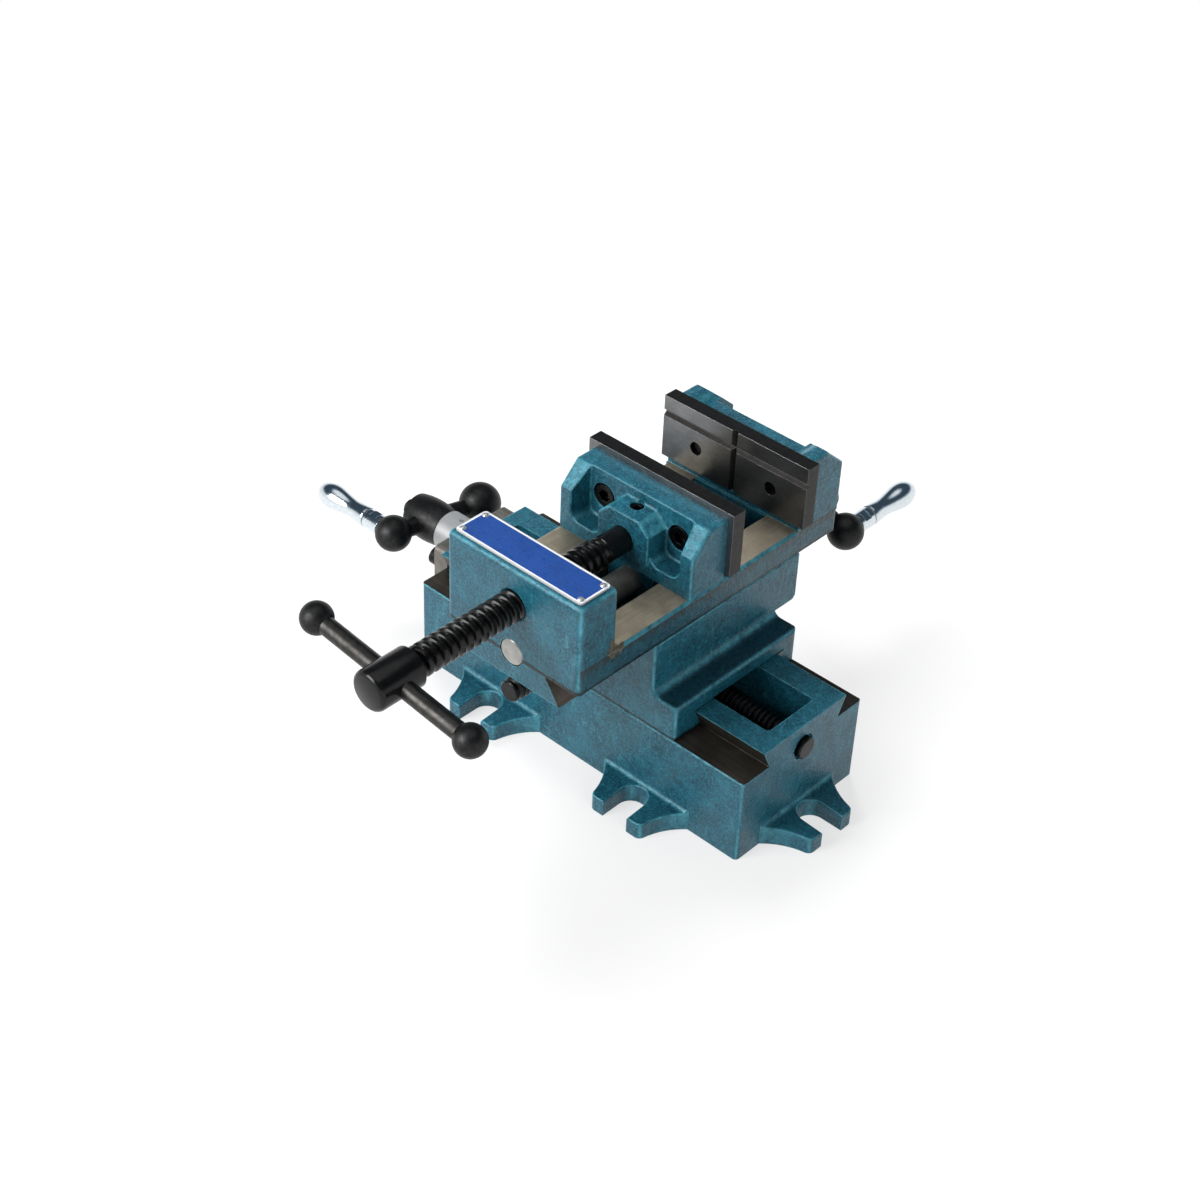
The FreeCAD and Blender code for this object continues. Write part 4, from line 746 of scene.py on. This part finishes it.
def y_screw():
    """The short slide's lead screw: tail, thread under the vise body, journal, and stem in the crank."""
    low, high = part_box("y_lead_screw")
    shoulder = BODY_HIGH.y - low.y - Y_END_PLAY
    collar_end = Y_DIAL_HIGH.y - low.y
    sections = [
        (0.0, Y_TAIL_LENGTH, Y_TAIL_RADIUS),
        (shoulder - LEAD_OVERLAP, collar_end, Y_JOURNAL_RADIUS),
        (collar_end, high.y - low.y, STEM_RADIUS),
    ]
    span = (Y_TAIL_LENGTH - Y_TAIL_OVERLAP, shoulder)
    lead_screw("y_screw", "y_lead_screw", "y", sections, span, "y_screw")


# Numbers of the dials, in metres
NUMBERS = 5
NUMBER_SIZE = 0.00297
NUMBER_FROM_RIM = 0.0048
NUMBER_EDGE = 0.0008
INK_LIFT = 0.00002


def number_mesh(text):
    """A flat mesh of a number, centred over its origin."""
    curve = bpy.data.curves.new("number", "FONT")
    curve.body = text
    curve.size = NUMBER_SIZE
    curve.align_x = "CENTER"
    source = add_to_scene("number", curve)
    bpy.context.view_layer.update()
    mesh = bpy.data.meshes.new_from_object(source)
    bpy.data.objects.remove(source)
    bpy.data.curves.remove(curve)
    return mesh


def dial_numbers(name, node, axis, centre, rim, body):
    """The numbers of a dial, one for each tenth division, as ink on the collar's surface."""
    low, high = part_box(node)
    radius = (high.z - low.z) / 2 + INK_LIFT
    inward = -1 if axis == "x" else 1
    bm = bmesh.new()
    for step in range(NUMBERS):
        mesh = number_mesh(str(step * DIVISIONS // NUMBERS))
        for vertex in mesh.vertices:
            angle = 2 * math.pi * step / NUMBERS + vertex.co.x / radius
            along_axis = rim + inward * (NUMBER_FROM_RIM + vertex.co.y)
            side, up = radius * math.sin(angle), radius * math.cos(angle)
            if axis == "x":
                vertex.co = (along_axis, centre.y - side, centre.z + up)
            else:
                vertex.co = (centre.x + side, along_axis, centre.z + up)
        bm.from_mesh(mesh)
        bpy.data.meshes.remove(mesh)
    bmesh.ops.subdivide_edges(bm, edges=[e for e in bm.edges if e.calc_length() > NUMBER_EDGE], cuts=1)
    new_piece(name, bm, "ink", body)


clamping_screw()
x_screw()
y_screw()
dial_numbers("x_dial_numbers", "x_dial_collar", "x", X_DIAL_CENTRE, X_RIM, "x_screw")
dial_numbers("y_dial_numbers", "y_dial_collar", "y", Y_DIAL_CENTRE, Y_RIM, "y_screw")

# The photograph's camera, solved from the object's corners, in metres, degrees and millimetres
CAMERA_PLACE = Vector((0.47099, -0.55327, 0.62118))
CAMERA_AZIMUTH = 41.632
CAMERA_ELEVATION = 37.704
CAMERA_ROLL = 2.556
CAMERA_LENS = 67.21
SENSOR_WIDTH = 36.0


def camera():
    azimuth, elevation, roll = (math.radians(a) for a in (CAMERA_AZIMUTH, CAMERA_ELEVATION, CAMERA_ROLL))
    right = Vector((math.cos(azimuth), math.sin(azimuth), 0))
    back = Vector((math.sin(azimuth) * math.cos(elevation), -math.cos(azimuth) * math.cos(elevation),
                   math.sin(elevation)))
    up = back.cross(right)
    turned_right = math.cos(roll) * right + math.sin(roll) * up
    turned_up = math.cos(roll) * up - math.sin(roll) * right
    data = bpy.data.cameras.new("camera")
    data.lens = CAMERA_LENS
    data.sensor_width = SENSOR_WIDTH
    data.sensor_fit = "HORIZONTAL"
    data.clip_start = 0.01
    data.clip_end = 20
    view = add_to_scene("camera", data)
    turn = Matrix((turned_right, turned_up, back)).transposed().to_4x4()
    view.matrix_world = Matrix.Translation(CAMERA_PLACE) @ turn
    bpy.context.scene.camera = view


WHITE = (1.0, 1.0, 1.0)

# Light that the studio sheds, and the dark ring that reflections see in it: the ring's strength and tint, and
# the heights between which it darkens and brightens again, as sines of elevation
WORLD_LIGHT = 0.22
CEILING = 0.09
CEILING_TINT = (0.42, 0.70, 1.00)
HORIZON_GLOW = (0.16, 0.46)
OVERHEAD_GLOW = (0.80, 0.92)

# The floor shows this share of shadow up to the first distance, and none past the second, in metres
FLOOR_SHADOW = 0.35
FLOOR_REACH = (0.22, 0.75)
FLOOR_HALF = 6.0
FLOOR_TONE = (0.9, 0.9, 0.9)


def seen(n):
    """1 on rays from the camera, from reflections and through glass."""
    path = n.add("ShaderNodeLightPath").outputs
    first = n.math("MAXIMUM", path["Is Camera Ray"], path["Is Glossy Ray"])
    return n.math("MAXIMUM", first, path["Is Transmission Ray"])


def world():
    """A white studio, which reflections see with a dark ring between the horizon and overhead."""
    studio = bpy.data.worlds.new("studio")
    bpy.context.scene.world = studio
    n = Nodes(studio)
    height = n.split(n.add("ShaderNodeTexCoord").outputs["Generated"])["Z"]
    low = n.ranged(height, *HORIZON_GLOW, 1.0, CEILING, "SMOOTHSTEP")
    high = n.ranged(height, *OVERHEAD_GLOW, 0.0, 1.0, "SMOOTHSTEP")
    glossy = n.add("ShaderNodeLightPath").outputs["Is Glossy Ray"]
    mirrored = n.blend(glossy, 1.0, n.math("MAXIMUM", low, high))
    background = n.add("ShaderNodeBackground")
    n.feed(background.inputs["Strength"], n.blend(seen(n), WORLD_LIGHT, mirrored))
    n.feed(background.inputs["Color"], n.mix(mirrored, CEILING_TINT, WHITE))
    n.link(background.outputs[0], n.add("ShaderNodeOutputWorld").inputs["Surface"])


def floor():
    """A pale floor that takes a soft shadow near the object and is plain white far from it."""
    material = bpy.data.materials.new("pale_floor")
    n = Nodes(material)
    paint = n.add("ShaderNodeBsdfDiffuse")
    n.feed(paint.inputs["Color"], FLOOR_TONE)
    glow = n.add("ShaderNodeEmission")
    n.feed(glow.inputs["Color"], WHITE)
    reach = n.vector("LENGTH", n.add("ShaderNodeTexCoord").outputs["Object"]).outputs["Value"]
    glowing = n.ranged(reach, *FLOOR_REACH, 1 - FLOOR_SHADOW, 1.0, "SMOOTHSTEP")
    mix = n.add("ShaderNodeMixShader")
    n.link(n.times(seen(n), glowing), mix.inputs[0])
    n.link(paint.outputs[0], mix.inputs[1])
    n.link(glow.outputs[0], mix.inputs[2])
    n.link(mix.outputs[0], n.add("ShaderNodeOutputMaterial").inputs["Surface"])
    mesh = bpy.data.meshes.new("floor")
    corners = [(x * FLOOR_HALF, y * FLOOR_HALF, 0) for x, y in ((-1, -1), (1, -1), (1, 1), (-1, 1))]
    mesh.from_pydata(corners, [], [(0, 1, 2, 3)])
    mesh.materials.append(material)
    add_to_scene("floor", mesh)


LAMP_TARGET = Vector((0, 0, 0.05))


def lamp(name, place, size, power, glossy):
    """A rectangular lamp, in metres and watts, that reflections see where glossy is true."""
    data = bpy.data.lights.new(name, "AREA")
    data.shape = "RECTANGLE"
    data.size, data.size_y = size
    data.energy = power
    light = add_to_scene(name, data)
    light.location = place
    light.rotation_euler = (LAMP_TARGET - Vector(place)).to_track_quat("-Z", "Y").to_euler()
    light.visible_glossy = glossy


camera()
world()
floor()
lamp("key", place=(-0.45, -1.20, 0.75), size=(0.8, 0.8), power=22, glossy=True)
lamp("top", place=(-0.80, 0.50, 1.10), size=(0.7, 0.7), power=23, glossy=False)
lamp("side", place=(1.10, -0.30, 0.60), size=(0.5, 0.7), power=4.5, glossy=False)

bpy.context.scene.view_settings.view_transform = "Standard"
